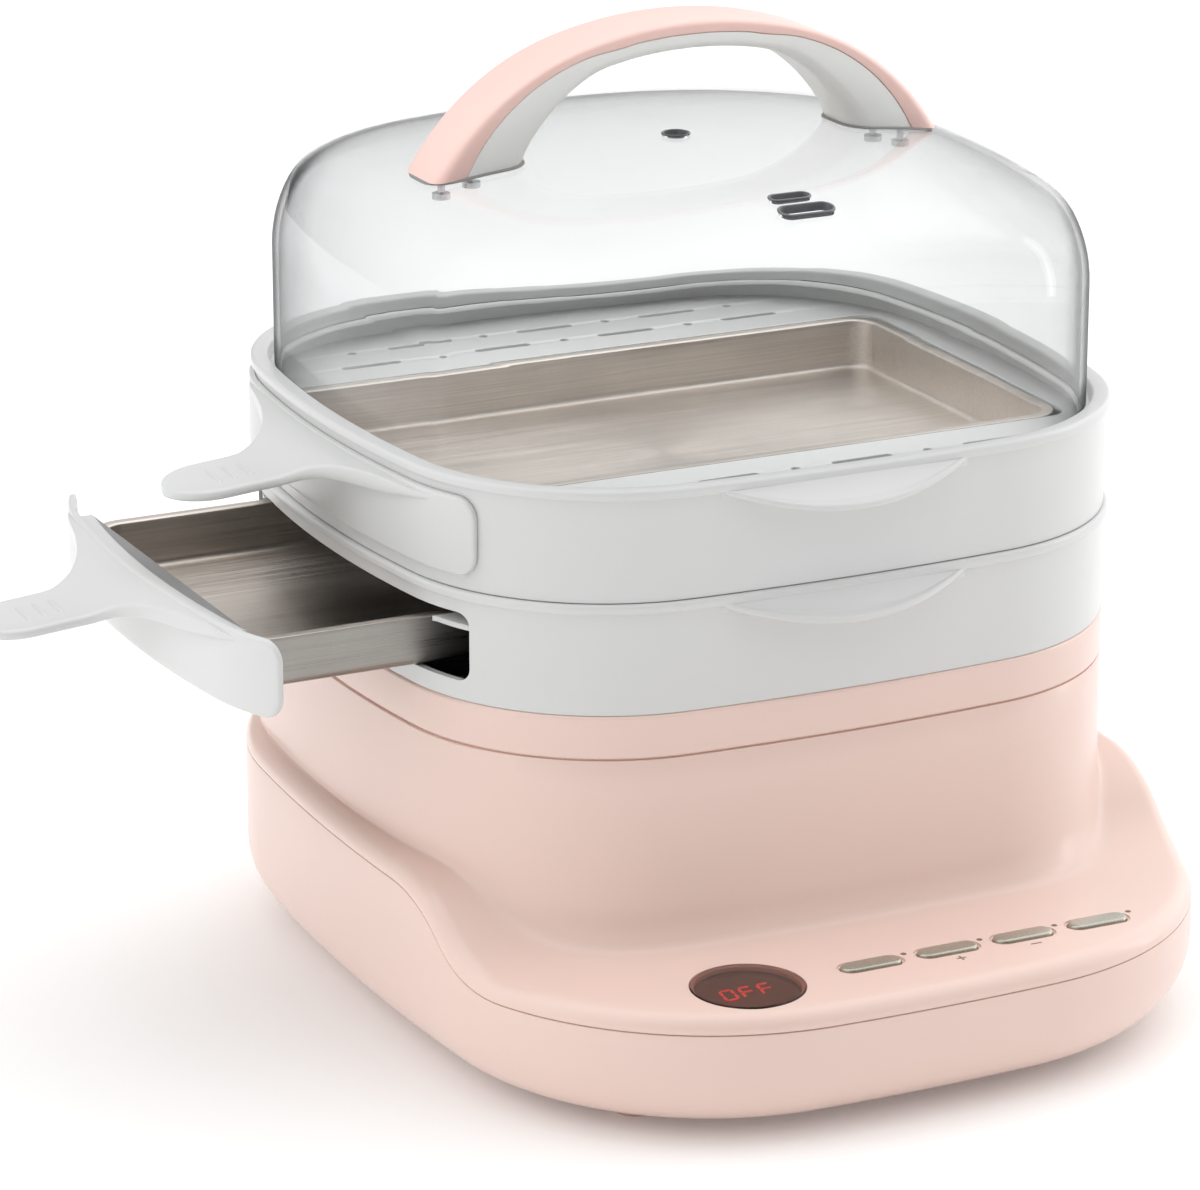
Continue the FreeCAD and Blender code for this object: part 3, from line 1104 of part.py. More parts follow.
def arch(name, out_drop, low, inner, half):
    """Solid arch in the XZ plane between an outer three-arc line lowered by out_drop
    and the under-grip line, or the ground when inner is False."""
    b = new_body(name)
    r0 = arch_r0 - out_drop
    r1 = arch_r1 - out_drop
    sn = arch_x0 / arch_r0
    cs = root(1 - sn * sn)
    cz0 = arch_top - arch_r0
    xo = sn * r0
    zo = cz0 + cs * r0
    c1x = arch_x0 - sn * arch_r1
    c1z = cz0 + cs * arch_r0 - cs * arch_r1
    xe = c1x + root(r1 * r1 - (low - c1z) * (low - c1z))
    gs = grip_x0 / grip_r0
    gc = root(1 - gs * gs)
    gz0 = grip_top - grip_r0
    gxe = grip_x0
    gze = gz0 + gc * grip_r0
    g1x = grip_x0 - gs * grip_r1
    g1z = gze - gc * grip_r1
    xi = g1x + grip_r1
    items = [(-xe, low, -c1x, c1z, False), (-xo, zo, dim(0.0), cz0, False), (xo, zo, c1x, c1z, False), (xe, low)]
    if inner:
        items += [(xi, low), (xi, g1z, g1x, g1z, True), (gxe, gze, dim(0.0), gz0, True), (-gxe, gze, -g1x, g1z, True),
                  (-xi, g1z), (-xi, low)]
    sk = path_sketch(b, name + "_line", "XZ_Plane", items)
    f = pad(b, sk, half * 2, name=name + "_pad")
    if "SideType" in f.PropertiesList:
        f.SideType = "Symmetric"
    else:
        f.Midplane = True
    return b, f


LOW = dim(292.0)
whole, wf = arch("arch_whole", dim(0.0), LOW, True, arch_half)
fillet(whole, wf, edges(wf, lambda e, bb: bb.YLength < 0.01 and e.Curve.TypeId != "Part::GeomLine" and bb.ZMin > 290), dim(4.5))
core, cf = arch("arch_core", dim(4.0), LOW - 1, False, arch_half + 2)
cap, pf = arch("arch_cap", dim(4.2), LOW - 1, False, arch_half + 2)
node("handle_cover", cut("handle_cover_solid", whole, [core, d_gasket]))
base_ = common("handle_base_region", [whole, cap])
pilots = [cyl("handle_pilot_%d" % i, x, 0.0, dim(290.0), dim(322.0) if abs(x) < 90 else dim(314.0), dim(1.5)) for i, x in enumerate(FIX)]
node("handle_base", cut("handle_base_solid", base_, [d_gasket] + pilots))
gb, gf = arch("gasket_arch", dim(-0.5), LOW, True, arch_half + 0.4)
node("handle_gaskets", cut("handle_gaskets_solid", common("gasket_region", [gb, cut("gasket_skin", d_gasket, [d_out])]),
                           [cyl("gasket_hole_%d" % i, x, 0.0, dim(280.0), dim(330.0), dim(2.2)) for i, x in enumerate(FIX)]))
scr = []
for i, x in enumerate(FIX):
    under = 304.5 if abs(x) < 90 else 301.5
    scr.append(fuse("handle_screw_%d" % i, [cyl("hh_%d" % i, x, 0.0, dim(under - 2.0), dim(under), dim(3.4)),
                                            cyl("hk_%d" % i, x, 0.0, dim(under), dim(under + 9.0), dim(1.4))]))
node("handle_screws", group("handle_screw_group", scr))

# ==== write ====================================================================
doc.recompute()
bad = [o.Name for o in doc.Objects if ("Invalid" in o.State or "Error" in o.State)]
if bad:
    raise RuntimeError("failed objects: " + ", ".join(bad))
for label, obj in NODES.items():
    if obj.Shape.isNull() or not obj.Shape.isValid() or obj.Shape.Volume <= 0:
        raise RuntimeError("bad shape: " + label)
os.makedirs("parts", exist_ok=True)
for label, obj in NODES.items():
    obj.Shape.exportStep("parts/%s.step" % label)
    bb = obj.Shape.BoundBox
    print("%-18s solids %2d  vol %10.1f  x %.1f..%.1f y %.1f..%.1f z %.1f..%.1f" % (
        label, len(obj.Shape.Solids), obj.Shape.Volume, bb.XMin, bb.XMax, bb.YMin, bb.YMax, bb.ZMin, bb.ZMax))
print(len(NODES), "nodes")
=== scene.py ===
import bpy, bmesh, math
import numpy as np
from mathutils import Vector, Matrix


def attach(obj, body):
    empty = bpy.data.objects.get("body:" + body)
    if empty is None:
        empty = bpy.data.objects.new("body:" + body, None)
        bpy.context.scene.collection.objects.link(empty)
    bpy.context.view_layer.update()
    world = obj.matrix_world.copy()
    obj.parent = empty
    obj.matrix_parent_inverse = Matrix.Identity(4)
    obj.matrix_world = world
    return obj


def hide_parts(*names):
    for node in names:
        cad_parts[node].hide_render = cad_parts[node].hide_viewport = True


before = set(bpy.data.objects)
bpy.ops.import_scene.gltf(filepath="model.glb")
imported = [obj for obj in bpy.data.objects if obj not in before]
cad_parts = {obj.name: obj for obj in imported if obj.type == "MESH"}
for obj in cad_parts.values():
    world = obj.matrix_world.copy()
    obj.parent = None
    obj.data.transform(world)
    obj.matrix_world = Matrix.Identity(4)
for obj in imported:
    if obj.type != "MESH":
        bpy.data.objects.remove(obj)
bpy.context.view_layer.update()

MM = 0.001
rad = math.radians
scene = bpy.context.scene

# ---------------------------------------------------------------- camera
AZ, EL = rad(-26.0116), rad(18.1889)
CAM = Vector((-858.732, -1695.178, 757.875)) * MM
back = Vector((math.sin(AZ) * math.cos(EL), -math.cos(AZ) * math.cos(EL), math.sin(EL)))
right = Vector((math.cos(AZ), math.sin(AZ), 0.0))
up = back.cross(right)
cam_data = bpy.data.cameras.new("camera")
cam_data.sensor_width = 36.0
cam_data.lens = 155.97
cam_data.clip_start, cam_data.clip_end = 0.05, 50.0
cam = bpy.data.objects.new("camera", cam_data)
cam.matrix_world = Matrix((
    (right.x, up.x, back.x, CAM.x), (right.y, up.y, back.y, CAM.y),
    (right.z, up.z, back.z, CAM.z), (0, 0, 0, 1)))
scene.collection.objects.link(cam)
scene.camera = cam

# ---------------------------------------------------------------- materials


def new_mat(name):
    m = bpy.data.materials.new(name)
    m.use_nodes = True
    nt = m.node_tree
    nt.nodes.clear()
    out = nt.nodes.new("ShaderNodeOutputMaterial")
    bs = nt.nodes.new("ShaderNodeBsdfPrincipled")
    nt.links.new(bs.outputs[0], out.inputs[0])
    return m, nt, bs


def n_add(nt, kind, **kw):
    n = nt.nodes.new(kind)
    for k, v in kw.items():
        if hasattr(n, k):
            setattr(n, k, v)
        else:
            n.inputs[k.replace("_", " ")].default_value = v
    return n


def coords(nt, scale=(1, 1, 1), rot=(0, 0, 0)):
    tc = nt.nodes.new("ShaderNodeTexCoord")
    mp = nt.nodes.new("ShaderNodeMapping")
    mp.inputs["Scale"].default_value = scale
    mp.inputs["Rotation"].default_value = rot
    nt.links.new(tc.outputs["Object"], mp.inputs["Vector"])
    return mp.outputs["Vector"]


def noise(nt, vec, scale, detail=3.0, rough=0.5, dist=0.0):
    n = nt.nodes.new("ShaderNodeTexNoise")
    n.inputs["Scale"].default_value = scale
    n.inputs["Detail"].default_value = detail
    n.inputs["Roughness"].default_value = rough
    n.inputs["Distortion"].default_value = dist
    nt.links.new(vec, n.inputs["Vector"])
    return n.outputs["Fac"]


def ramp(nt, fac, stops):
    r = nt.nodes.new("ShaderNodeValToRGB")
    el = r.color_ramp.elements
    el[0].position, el[0].color = stops[0][0], (*stops[0][1], 1)
    el[1].position, el[1].color = stops[-1][0], (*stops[-1][1], 1)
    for p, c in stops[1:-1]:
        e = el.new(p)
        e.color = (*c, 1)
    nt.links.new(fac, r.inputs[0])
    return r.outputs[0]


def span(nt, fac, lo, hi, f0=0.3, f1=0.7):
    r = nt.nodes.new("ShaderNodeMapRange")
    r.inputs["From Min"].default_value = f0
    r.inputs["From Max"].default_value = f1
    r.inputs["To Min"].default_value = lo
    r.inputs["To Max"].default_value = hi
    nt.links.new(fac, r.inputs["Value"])
    return r.outputs["Result"]


def bump(nt, fac, strength, dist, bs, base=None):
    b = nt.nodes.new("ShaderNodeBump")
    b.inputs["Strength"].default_value = strength
    b.inputs["Distance"].default_value = dist
    nt.links.new(fac, b.inputs["Height"])
    if base is not None:
        nt.links.new(base, b.inputs["Normal"])
    nt.links.new(b.outputs[0], bs.inputs["Normal"])
    return b.outputs[0]


def srgb(r, g, b):
    def f(c):
        c /= 255.0
        return c / 12.92 if c <= 0.04045 else ((c + 0.055) / 1.055) ** 2.4
    return (f(r), f(g), f(b))


def shade(c, k):
    return tuple(min(1.0, x * k) for x in c)


def plastic(name, col, rough=0.3, var=0.02, grain=0.00002, coat=0.0, sss=0.0, warm=(1, 1, 1)):
    """Moulded plastic: faint cloudiness, fine surface texture, slow gloss changes."""
    m, nt, bs = new_mat(name)
    v = coords(nt)
    slow = noise(nt, v, 9.0, 4.0, 0.55)
    fine = noise(nt, v, 900.0, 2.0, 0.6)
    mid = noise(nt, v, 26.0, 2.0, 0.5)
    c0 = shade(col, 1 - var)
    c1 = tuple(min(1, a * (1 + var) * w) for a, w in zip(col, warm))
    nt.links.new(ramp(nt, slow, [(0.32, c0), (0.5, col), (0.68, c1)]), bs.inputs["Base Color"])
    nt.links.new(span(nt, mid, rough * 0.97, rough * 1.04), bs.inputs["Roughness"])
    bump(nt, fine, 0.1, grain, bs)
    bs.inputs["IOR"].default_value = 1.48
    if coat:
        bs.inputs["Coat Weight"].default_value = coat
        bs.inputs["Coat Roughness"].default_value = 0.16
    if sss:
        bs.inputs["Subsurface Weight"].default_value = sss
        bs.inputs["Subsurface Radius"].default_value = (0.004, 0.003, 0.0025)
        bs.inputs["Subsurface Scale"].default_value = 1.0
    return m


def brushed(name, col, axis="x", rough=0.26, streak=0.35, dirt=0.0):
    """Rolled sheet steel: long fine brush lines, slow tone drift."""
    m, nt, bs = new_mat(name)
    sc = (14, 1400, 1400) if axis == "x" else (1400, 14, 1400)
    v = coords(nt, sc)
    w = coords(nt)
    lines = noise(nt, v, 1.0, 3.0, 0.65)
    slow = noise(nt, w, 22.0, 4.0, 0.6)
    c0, c1 = shade(col, 0.86), shade(col, 1.1)
    mix = nt.nodes.new("ShaderNodeMix")
    mix.data_type = "RGBA"
    mix.blend_type = "MULTIPLY"
    mix.inputs["Factor"].default_value = 1.0
    nt.links.new(ramp(nt, lines, [(0.3, c0), (0.7, c1)]), mix.inputs[6])
    nt.links.new(ramp(nt, slow, [(0.3, (0.9, 0.9, 0.9)), (0.7, (1, 1, 1))]), mix.inputs[7])
    nt.links.new(mix.outputs[2], bs.inputs["Base Color"])
    nt.links.new(span(nt, lines, rough * 0.8, rough * 1.35), bs.inputs["Roughness"])
    bs.inputs["Metallic"].default_value = 1.0
    bs.inputs["Anisotropic"].default_value = 0.55
    bump(nt, lines, streak, 0.00002, bs)
    return m


def metal(name, col, rough=0.3, cast=0.0):
    m, nt, bs = new_mat(name)
    v = coords(nt)
    slow = noise(nt, v, 70.0, 4.0, 0.55)
    fine = noise(nt, v, 1500.0, 2.0, 0.5)
    nt.links.new(ramp(nt, slow, [(0.3, shade(col, 0.88)), (0.7, shade(col, 1.06))]), bs.inputs["Base Color"])
    nt.links.new(span(nt, slow, rough * 0.8, rough * 1.25), bs.inputs["Roughness"])
    bs.inputs["Metallic"].default_value = 1.0
    bump(nt, fine, 0.3 + cast, 0.00003 + cast * 0.0001, bs)
    return m


PINK = srgb(237, 209, 198)
# tier white held darker than the handle white of the same plastic: painted shade for the tiers' shaded fronts
WHITE = srgb(217, 218, 217)
M = {}
M["pink"] = plastic("pink_plastic", PINK, 0.33, 0.006, 0.00001, coat=0.4, warm=(1.0, 0.997, 0.994))
# handle pink, brighter than the casing pink: painted light making up for the shade the handle gets; its slightly deeper
# pink is its own colour
M["pink_handle_painted_light"] = plastic("pink_handle_plastic", srgb(255, 216, 207), 0.38, 0.012, 0.000015, coat=0.15)
M["white"] = plastic("white_plastic", WHITE, 0.3, 0.005, 0.00001, coat=0.25)
# handle white, a lighter copy of the tier white: painted light making up for the shade the handle gets
M["white_painted_light"] = plastic("white_handle_painted_light", srgb(250, 250, 247), 0.32, 0.01, 0.000012, coat=0.2)
M["steel"] = brushed("pan_steel_brushed", srgb(226, 218, 210), "x", 0.38)
# darker copy of the same brushed steel for the pan's outside and underside: painted shade
M["steel_out"] = brushed("pan_steel_outside", srgb(158, 155, 150), "x", 0.3)
M["steel_y"] = brushed("pan_steel_wall", srgb(220, 214, 206), "y", 0.36)
M["basin"] = metal("basin_aluminium", srgb(200, 200, 202), 0.34)
M["cast"] = metal("heater_cast", srgb(178, 178, 180), 0.45, 0.3)
M["screw"] = metal("screw_plated", srgb(205, 205, 207), 0.25)
M["shield"] = brushed("shield_sheet", srgb(180, 180, 182), "x", 0.33)
M["dark"] = plastic("dark_plastic", srgb(44, 43, 45), 0.42, 0.08, 0.00003)
M["inner"] = plastic("inner_plastic", srgb(224, 222, 214), 0.42, 0.03, 0.00002)
M["board"] = plastic("board_green", srgb(38, 92, 58), 0.38, 0.08, 0.00002, coat=0.3)
M["rubber"] = plastic("seal_rubber", srgb(150, 148, 147), 0.55, 0.04, 0.00003)
M["foot"] = plastic("foot_rubber", srgb(222, 180, 168), 0.55, 0.04, 0.00004)
M["leads"] = plastic("lead_sleeve", srgb(212, 206, 198), 0.5, 0.05, 0.00003)
M["gland"] = plastic("gland_plastic", srgb(226, 200, 190), 0.4, 0.03, 0.00002)


def clear(name, tint, rough=0.02, ior=1.49):
    m, nt, bs = new_mat(name)
    v = coords(nt)
    slow = noise(nt, v, 14.0, 3.0, 0.5)
    wav = noise(nt, v, 26.0, 2.0, 0.5)
    lw = nt.nodes.new("ShaderNodeLayerWeight")
    lw.inputs["Blend"].default_value = 0.5
    # the Facing ramps darken the colour towards the outline: painted edge shade, stronger on the walls (hard) than on
    # the crown (soft)
    soft = ramp(nt, lw.outputs["Facing"], [(0.0, (1, 1, 1)), (0.6, (0.985, 0.985, 0.985)), (0.76, (0.95, 0.952, 0.955)), (0.84, (0.80, 0.805, 0.81)), (0.92, (0.56, 0.565, 0.575)), (1.0, (0.2, 0.205, 0.21))])
    hard = ramp(nt, lw.outputs["Facing"], [(0.0, (1, 1, 1)), (0.4, (0.992, 0.992, 0.992)), (0.55, (0.95, 0.952, 0.955)), (0.7, (0.84, 0.845, 0.85)), (0.8, (0.62, 0.625, 0.635)), (0.88, (0.36, 0.365, 0.375)), (1.0, (0.1, 0.105, 0.11))])
    # painted edge shade: the walls gather more of the dark edge tint than the crown does
    geo = nt.nodes.new("ShaderNodeNewGeometry")
    sep = nt.nodes.new("ShaderNodeSeparateXYZ")
    nt.links.new(geo.outputs["Normal"], sep.inputs[0])
    flat = nt.nodes.new("ShaderNodeMath")
    flat.operation = "ABSOLUTE"
    nt.links.new(sep.outputs["Z"], flat.inputs[0])
    wall = ramp(nt, flat.outputs[0], [(0.0, (0, 0, 0)), (0.55, (0, 0, 0)), (0.93, (1, 1, 1))])
    rmx = nt.nodes.new("ShaderNodeMix")
    rmx.data_type = "RGBA"
    nt.links.new(wall, rmx.inputs["Factor"])
    nt.links.new(hard, rmx.inputs[6])
    nt.links.new(soft, rmx.inputs[7])
    rim = rmx.outputs[2]
    mix = nt.nodes.new("ShaderNodeMix")
    mix.data_type = "RGBA"
    mix.blend_type = "MULTIPLY"
    mix.inputs["Factor"].default_value = 1.0
    nt.links.new(ramp(nt, slow, [(0.3, shade(tint, 0.985)), (0.7, tint)]), mix.inputs[6])
    nt.links.new(rim, mix.inputs[7])
    nt.links.new(mix.outputs[2], bs.inputs["Base Color"])
    nt.links.new(span(nt, slow, rough * 0.5, rough * 1.5), bs.inputs["Roughness"])
    bs.inputs["IOR"].default_value = ior
    bs.inputs["Transmission Weight"].default_value = 1.0
    bump(nt, wav, 0.08, 0.0004, bs)
    # lamps reach what is inside
    lp = nt.nodes.new("ShaderNodeLightPath")
    tr = nt.nodes.new("ShaderNodeBsdfTransparent")
    tr.inputs["Color"].default_value = (0.93, 0.93, 0.93, 1)
    ms = nt.nodes.new("ShaderNodeMixShader")
    out = [n for n in nt.nodes if n.type == "OUTPUT_MATERIAL"][0]
    # near the outline a dark, barely glossy shader takes over from the glass instead of what lies behind: painted shade
    # for the dark surroundings that the wall refracts and reflects at grazing angles
    painted_edge_shade_bsdf = nt.nodes.new("ShaderNodeBsdfPrincipled")
    painted_edge_shade_bsdf.inputs["Base Color"].default_value = (0.04, 0.042, 0.045, 1)
    painted_edge_shade_bsdf.inputs["Roughness"].default_value = 0.6
    painted_edge_shade_bsdf.inputs["Specular IOR Level"].default_value = 0.1
    edge = ramp(nt, lw.outputs["Facing"], [(0.0, (0, 0, 0)), (0.42, (0, 0, 0)), (0.62, (0.10, 0.10, 0.10)), (0.74, (0.34, 0.34, 0.34)), (0.84, (0.74, 0.74, 0.74)), (1.0, (0.97, 0.97, 0.97))])
    edge_shade_amount = nt.nodes.new("ShaderNodeMix")
    edge_shade_amount.data_type = "FLOAT"
    nt.links.new(wall, edge_shade_amount.inputs["Factor"])
    nt.links.new(edge, edge_shade_amount.inputs[2])
    edge_shade_amount.inputs[3].default_value = 0.0
    edge_shade_mix = nt.nodes.new("ShaderNodeMixShader")
    nt.links.new(edge_shade_amount.outputs[0], edge_shade_mix.inputs[0])
    nt.links.new(bs.outputs[0], edge_shade_mix.inputs[1])
    nt.links.new(painted_edge_shade_bsdf.outputs[0], edge_shade_mix.inputs[2])
    nt.links.new(lp.outputs["Is Shadow Ray"], ms.inputs[0])
    nt.links.new(edge_shade_mix.outputs[0], ms.inputs[1])
    nt.links.new(tr.outputs[0], ms.inputs[2])
    nt.links.new(ms.outputs[0], out.inputs["Surface"])
    return m


M["rim_grey"] = plastic("vent_rim_grey", srgb(104, 105, 108), 0.3, 0.06, 0.00001, coat=0.3)
M["dome"] = clear("clear_dome_plastic", (0.905, 0.91, 0.912), 0.012, 1.24)


def key_metal(name):
    m, nt, bs = new_mat(name)
    v = coords(nt)
    fine = noise(nt, v, 2200.0, 2.0, 0.6)
    slow = noise(nt, v, 120.0, 3.0, 0.5)
    col = srgb(180, 178, 166)
    nt.links.new(ramp(nt, slow, [(0.3, shade(col, 0.93)), (0.7, shade(col, 1.03))]), bs.inputs["Base Color"])
    nt.links.new(span(nt, fine, 0.24, 0.36), bs.inputs["Roughness"])
    bs.inputs["Metallic"].default_value = 0.75
    bs.inputs["Coat Weight"].default_value = 0.4
    bs.inputs["Coat Roughness"].default_value = 0.1
    bump(nt, fine, 0.2, 0.00001, bs)
    return m


M["key"] = key_metal("key_silver")


def lens_mat():
    m, nt, bs = new_mat("display_dark_gloss")
    v = coords(nt)
    slow = noise(nt, v, 60.0, 3.0, 0.5)
    nt.links.new(ramp(nt, slow, [(0.3, srgb(26, 15, 14)), (0.7, srgb(34, 20, 18))]), bs.inputs["Base Color"])
    nt.links.new(span(nt, slow, 0.05, 0.09), bs.inputs["Roughness"])
    bs.inputs["Coat Weight"].default_value = 0.8
    bs.inputs["Coat Roughness"].default_value = 0.03
    return m


M["lens"] = lens_mat()


def smoked():
    """Smoked clear cover: dark brown tint with a hard gloss."""
    m, nt, bs = new_mat("display_smoked_cover")
    v = coords(nt)
    slow = noise(nt, v, 60.0, 3.0, 0.5)
    nt.links.new(ramp(nt, slow, [(0.3, (0.60, 0.42, 0.38)), (0.7, (0.64, 0.45, 0.41))]), bs.inputs["Base Color"])
    nt.links.new(span(nt, slow, 0.012, 0.03), bs.inputs["Roughness"])
    bs.inputs["Transmission Weight"].default_value = 1.0
    bs.inputs["IOR"].default_value = 1.33
    return m


M["lens_clear"] = smoked()


def glow_mat():
    m, nt, bs = new_mat("digit_glow")
    v = coords(nt)
    n1 = noise(nt, v, 700.0, 2.0, 0.5)
    c = ramp(nt, n1, [(0.3, srgb(200, 30, 28)), (0.7, srgb(255, 66, 58))])
    nt.links.new(c, bs.inputs["Base Color"])
    nt.links.new(c, bs.inputs["Emission Color"])
    bs.inputs["Emission Strength"].default_value = 0.75
    nt.links.new(span(nt, n1, 0.3, 0.4), bs.inputs["Roughness"])
    return m


M["glow"] = glow_mat()
M["print"] = plastic("print_grey", srgb(128, 112, 104), 0.5, 0.05, 0.00001)
M["slot_dark"] = plastic("recess_shadow", srgb(150, 120, 110), 0.6, 0.05, 0.00002)

# ---------------------------------------------------------------- plan outlines (mm)
TIER = (145.0, 143.3, 905.5, 520.4, 82.3, 0.0)
BASE = (154.85, 187.74, 841.9, 990.1, 112.4, -30.1)
SEG = (26, 30, 28)


def plan_arcs(kind):
    hx, hy, fr, sr, cr, ys = kind
    S, F = (hx - sr, 0.0), (0.0, hy - fr)
    r1, r2 = sr - cr, fr - cr
    d = math.hypot(F[0] - S[0], F[1] - S[1])
    a = (r1 * r1 - r2 * r2 + d * d) / (2 * d)
    h = math.sqrt(max(r1 * r1 - a * a, 0))
    ux, uy = (F[0] - S[0]) / d, (F[1] - S[1]) / d
    C = max(((S[0] + ux * a - uy * h * s, S[1] + uy * a + ux * h * s) for s in (1, -1)), key=lambda c: c[0] + c[1])
    t1 = math.atan2(C[1] - S[1], C[0] - S[0])
    t2 = math.atan2(C[1] - F[1], C[0] - F[0])
    p = math.pi
    return [((S[0], 0), sr, -t1, t1, 0), (C, cr, t1, t2, 1), ((0, F[1]), fr, t2, p - t2, 2),
            ((-C[0], C[1]), cr, p - t2, p - t1, 1), ((-S[0], 0), sr, p - t1, p + t1, 0),
            ((-C[0], -C[1]), cr, p + t1, p + t2, 1), ((0, -F[1]), fr, p + t2, 2 * p - t2, 2),
            ((C[0], -C[1]), cr, 2 * p - t2, 2 * p - t1, 1)]


def plan(kind, off=0.0):
    """Outline grown by off; points line up by index from one offset to the next."""
    pts = []
    for c, r, a0, a1, k in plan_arcs(kind):
        n = SEG[k]
        for i in range(n):
            a = a0 + (a1 - a0) * i / n
            pts.append((c[0] + (r + off) * math.cos(a), c[1] + (r + off) * math.sin(a) + kind[5]))
    return np.array(pts)


def rrect(x0, x1, y0, y1, r, off=0.0, n=8, m=10):
    """Rounded rectangle grown by off, the same number of points for any size."""
    rr = max(r + off, 0.02)
    x0, x1, y0, y1 = x0 - off, x1 + off, y0 - off, y1 + off
    cs = [(x1 - rr, y0 + rr, -90), (x1 - rr, y1 - rr, 0), (x0 + rr, y1 - rr, 90), (x0 + rr, y0 + rr, 180)]
    pts = []
    for k, (cx, cy, a) in enumerate(cs):
        arc = [(cx + rr * math.cos(rad(a + 90 * i / n)), cy + rr * math.sin(rad(a + 90 * i / n))) for i in range(n + 1)]
        pts += arc
        nx = cs[(k + 1) % 4]
        q = (nx[0] + rr * math.cos(rad(nx[2])), nx[1] + rr * math.sin(rad(nx[2])))
        p = arc[-1]
        for i in range(1, m):
            pts.append((p[0] + (q[0] - p[0]) * i / m, p[1] + (q[1] - p[1]) * i / m))
    return np.array(pts)


def rounded(poly, n=4):
    """Closed polygon of (x, y, r) with its corners rounded."""
    out = []
    k = len(poly)
    for i in range(k):
        p = np.array(poly[i][:2], float)
        r = poly[i][2] if len(poly[i]) > 2 else 0.0
        a = np.array(poly[i - 1][:2], float) - p
        b = np.array(poly[(i + 1) % k][:2], float) - p
        la, lb = np.linalg.norm(a), np.linalg.norm(b)
        if r <= 0 or la < 1e-9 or lb < 1e-9:
            out.append(tuple(p))
            continue
        a, b = a / la, b / lb
        ang = math.acos(max(-1, min(1, float(a @ b))))
        if ang > math.pi - 0.03:
            out.append(tuple(p))
            continue
        t = min(r / math.tan(ang / 2), la * 0.49, lb * 0.49)
        r = t * math.tan(ang / 2)
        bis = (a + b) / np.linalg.norm(a + b)
        c = p + bis * (r / math.sin(ang / 2))
        s, e = p + a * t - c, p + b * t - c
        a0, a1 = math.atan2(s[1], s[0]), math.atan2(e[1], e[0])
        da = (a1 - a0 + math.pi) % (2 * math.pi) - math.pi
        for j in range(n + 1):
            w = a0 + da * j / n
            out.append((c[0] + r * math.cos(w), c[1] + r * math.sin(w)))
    return out


def make(name, verts, faces, mat, body, sharp=38, node=None, slot=None, smooth=True):
    """Mesh piece from millimetre points, with outward faces, riding on a body."""
    me = bpy.data.meshes.new(name)
    me.from_pydata([tuple(float(c) * MM for c in v) for v in verts], [], [tuple(int(i) for i in f) for f in faces])
    bm = bmesh.new()
    bm.from_mesh(me)
    bmesh.ops.remove_doubles(bm, verts=bm.verts, dist=2e-6)
    bmesh.ops.dissolve_degenerate(bm, edges=bm.edges, dist=1e-6)
    bmesh.ops.recalc_face_normals(bm, faces=bm.faces)
    if bm.calc_volume(signed=True) < 0:
        bmesh.ops.reverse_faces(bm, faces=bm.faces)
    bm.to_mesh(me)
    bm.free()
    ob = bpy.data.objects.new(name, me)
    scene.collection.objects.link(ob)
    me.materials.append(M[mat] if isinstance(mat, str) else mat)
    if smooth:
        me.shade_smooth()
        me.set_sharp_from_angle(angle=rad(sharp))
    if body:
        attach(ob, body)
    if node:
        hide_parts(*([node] if isinstance(node, str) else node))
    return ob


def grid_faces(K, N, close_k, close_n=True):
    fs = []
    for k in range(K if close_k else K - 1):
        k2 = (k + 1) % K
        for i in range(N if close_n else N - 1):
            i2 = (i + 1) % N
            fs.append((k * N + i, k * N + i2, k2 * N + i2, k2 * N + i))
    return fs


def rings_mesh(name, rings, mat, body, close_k=True, cap0=False, cap1=False, **kw):
    K, N = len(rings), len(rings[0])
    vs = [p for r in rings for p in r]
    fs = grid_faces(K, N, close_k)
    if cap0:
        fs.append(tuple(range(N)))
    if cap1:
        fs.append(tuple((K - 1) * N + i for i in range(N)))
    return make(name, vs, fs, mat, body, **kw)


def sweep(name, fn, prof, mat, body, **kw):
    """Closed (offset, z) profile carried round an outline."""
    rings = [[(x, y, z) for x, y in fn(o)] for o, z in prof]
    return rings_mesh(name, rings, mat, body, close_k=True, **kw)


def apply_bool(ob, cutters, op="DIFFERENCE", sharp=38, keep=False):
    for c in cutters:
        md = ob.modifiers.new("b", "BOOLEAN")
        md.operation = op
        md.object = c
        md.solver = "EXACT"
    bpy.context.view_layer.update()
    dg = bpy.context.evaluated_depsgraph_get()
    me = bpy.data.meshes.new_from_object(ob.evaluated_get(dg), depsgraph=dg)
    ob.modifiers.clear()
    old = ob.data
    ob.data = me
    bpy.data.meshes.remove(old)
    if not keep:
        for c in cutters:
            bpy.data.objects.remove(c)
    me.shade_smooth()
    me.set_sharp_from_angle(angle=rad(sharp))
    return ob


def prism(pts2, z0, z1, plane="xy", name="cutter"):
    """Plain prism used only as a cutting tool."""
    n = len(pts2)
    vs = []
    for z in (z0, z1):
        for a, b in pts2:
            vs.append((a, b, z) if plane == "xy" else ((z, a, b) if plane == "yz" else (a, z, b)))
    fs = grid_faces(2, n, False) + [tuple(range(n)), tuple(n + i for i in range(n))]
    return make(name, vs, fs, "slot_dark", None, smooth=False)


def pill_pts(cx, cy, L, W, n=12):
    h, e = W / 2, L / 2 - W / 2
    return [(cx + e + h * math.cos(rad(-90 + 180 * i / n)), cy + h * math.sin(rad(-90 + 180 * i / n))) for i in range(n + 1)] + \
           [(cx - e + h * math.cos(rad(90 + 180 * i / n)), cy + h * math.sin(rad(90 + 180 * i / n))) for i in range(n + 1)]


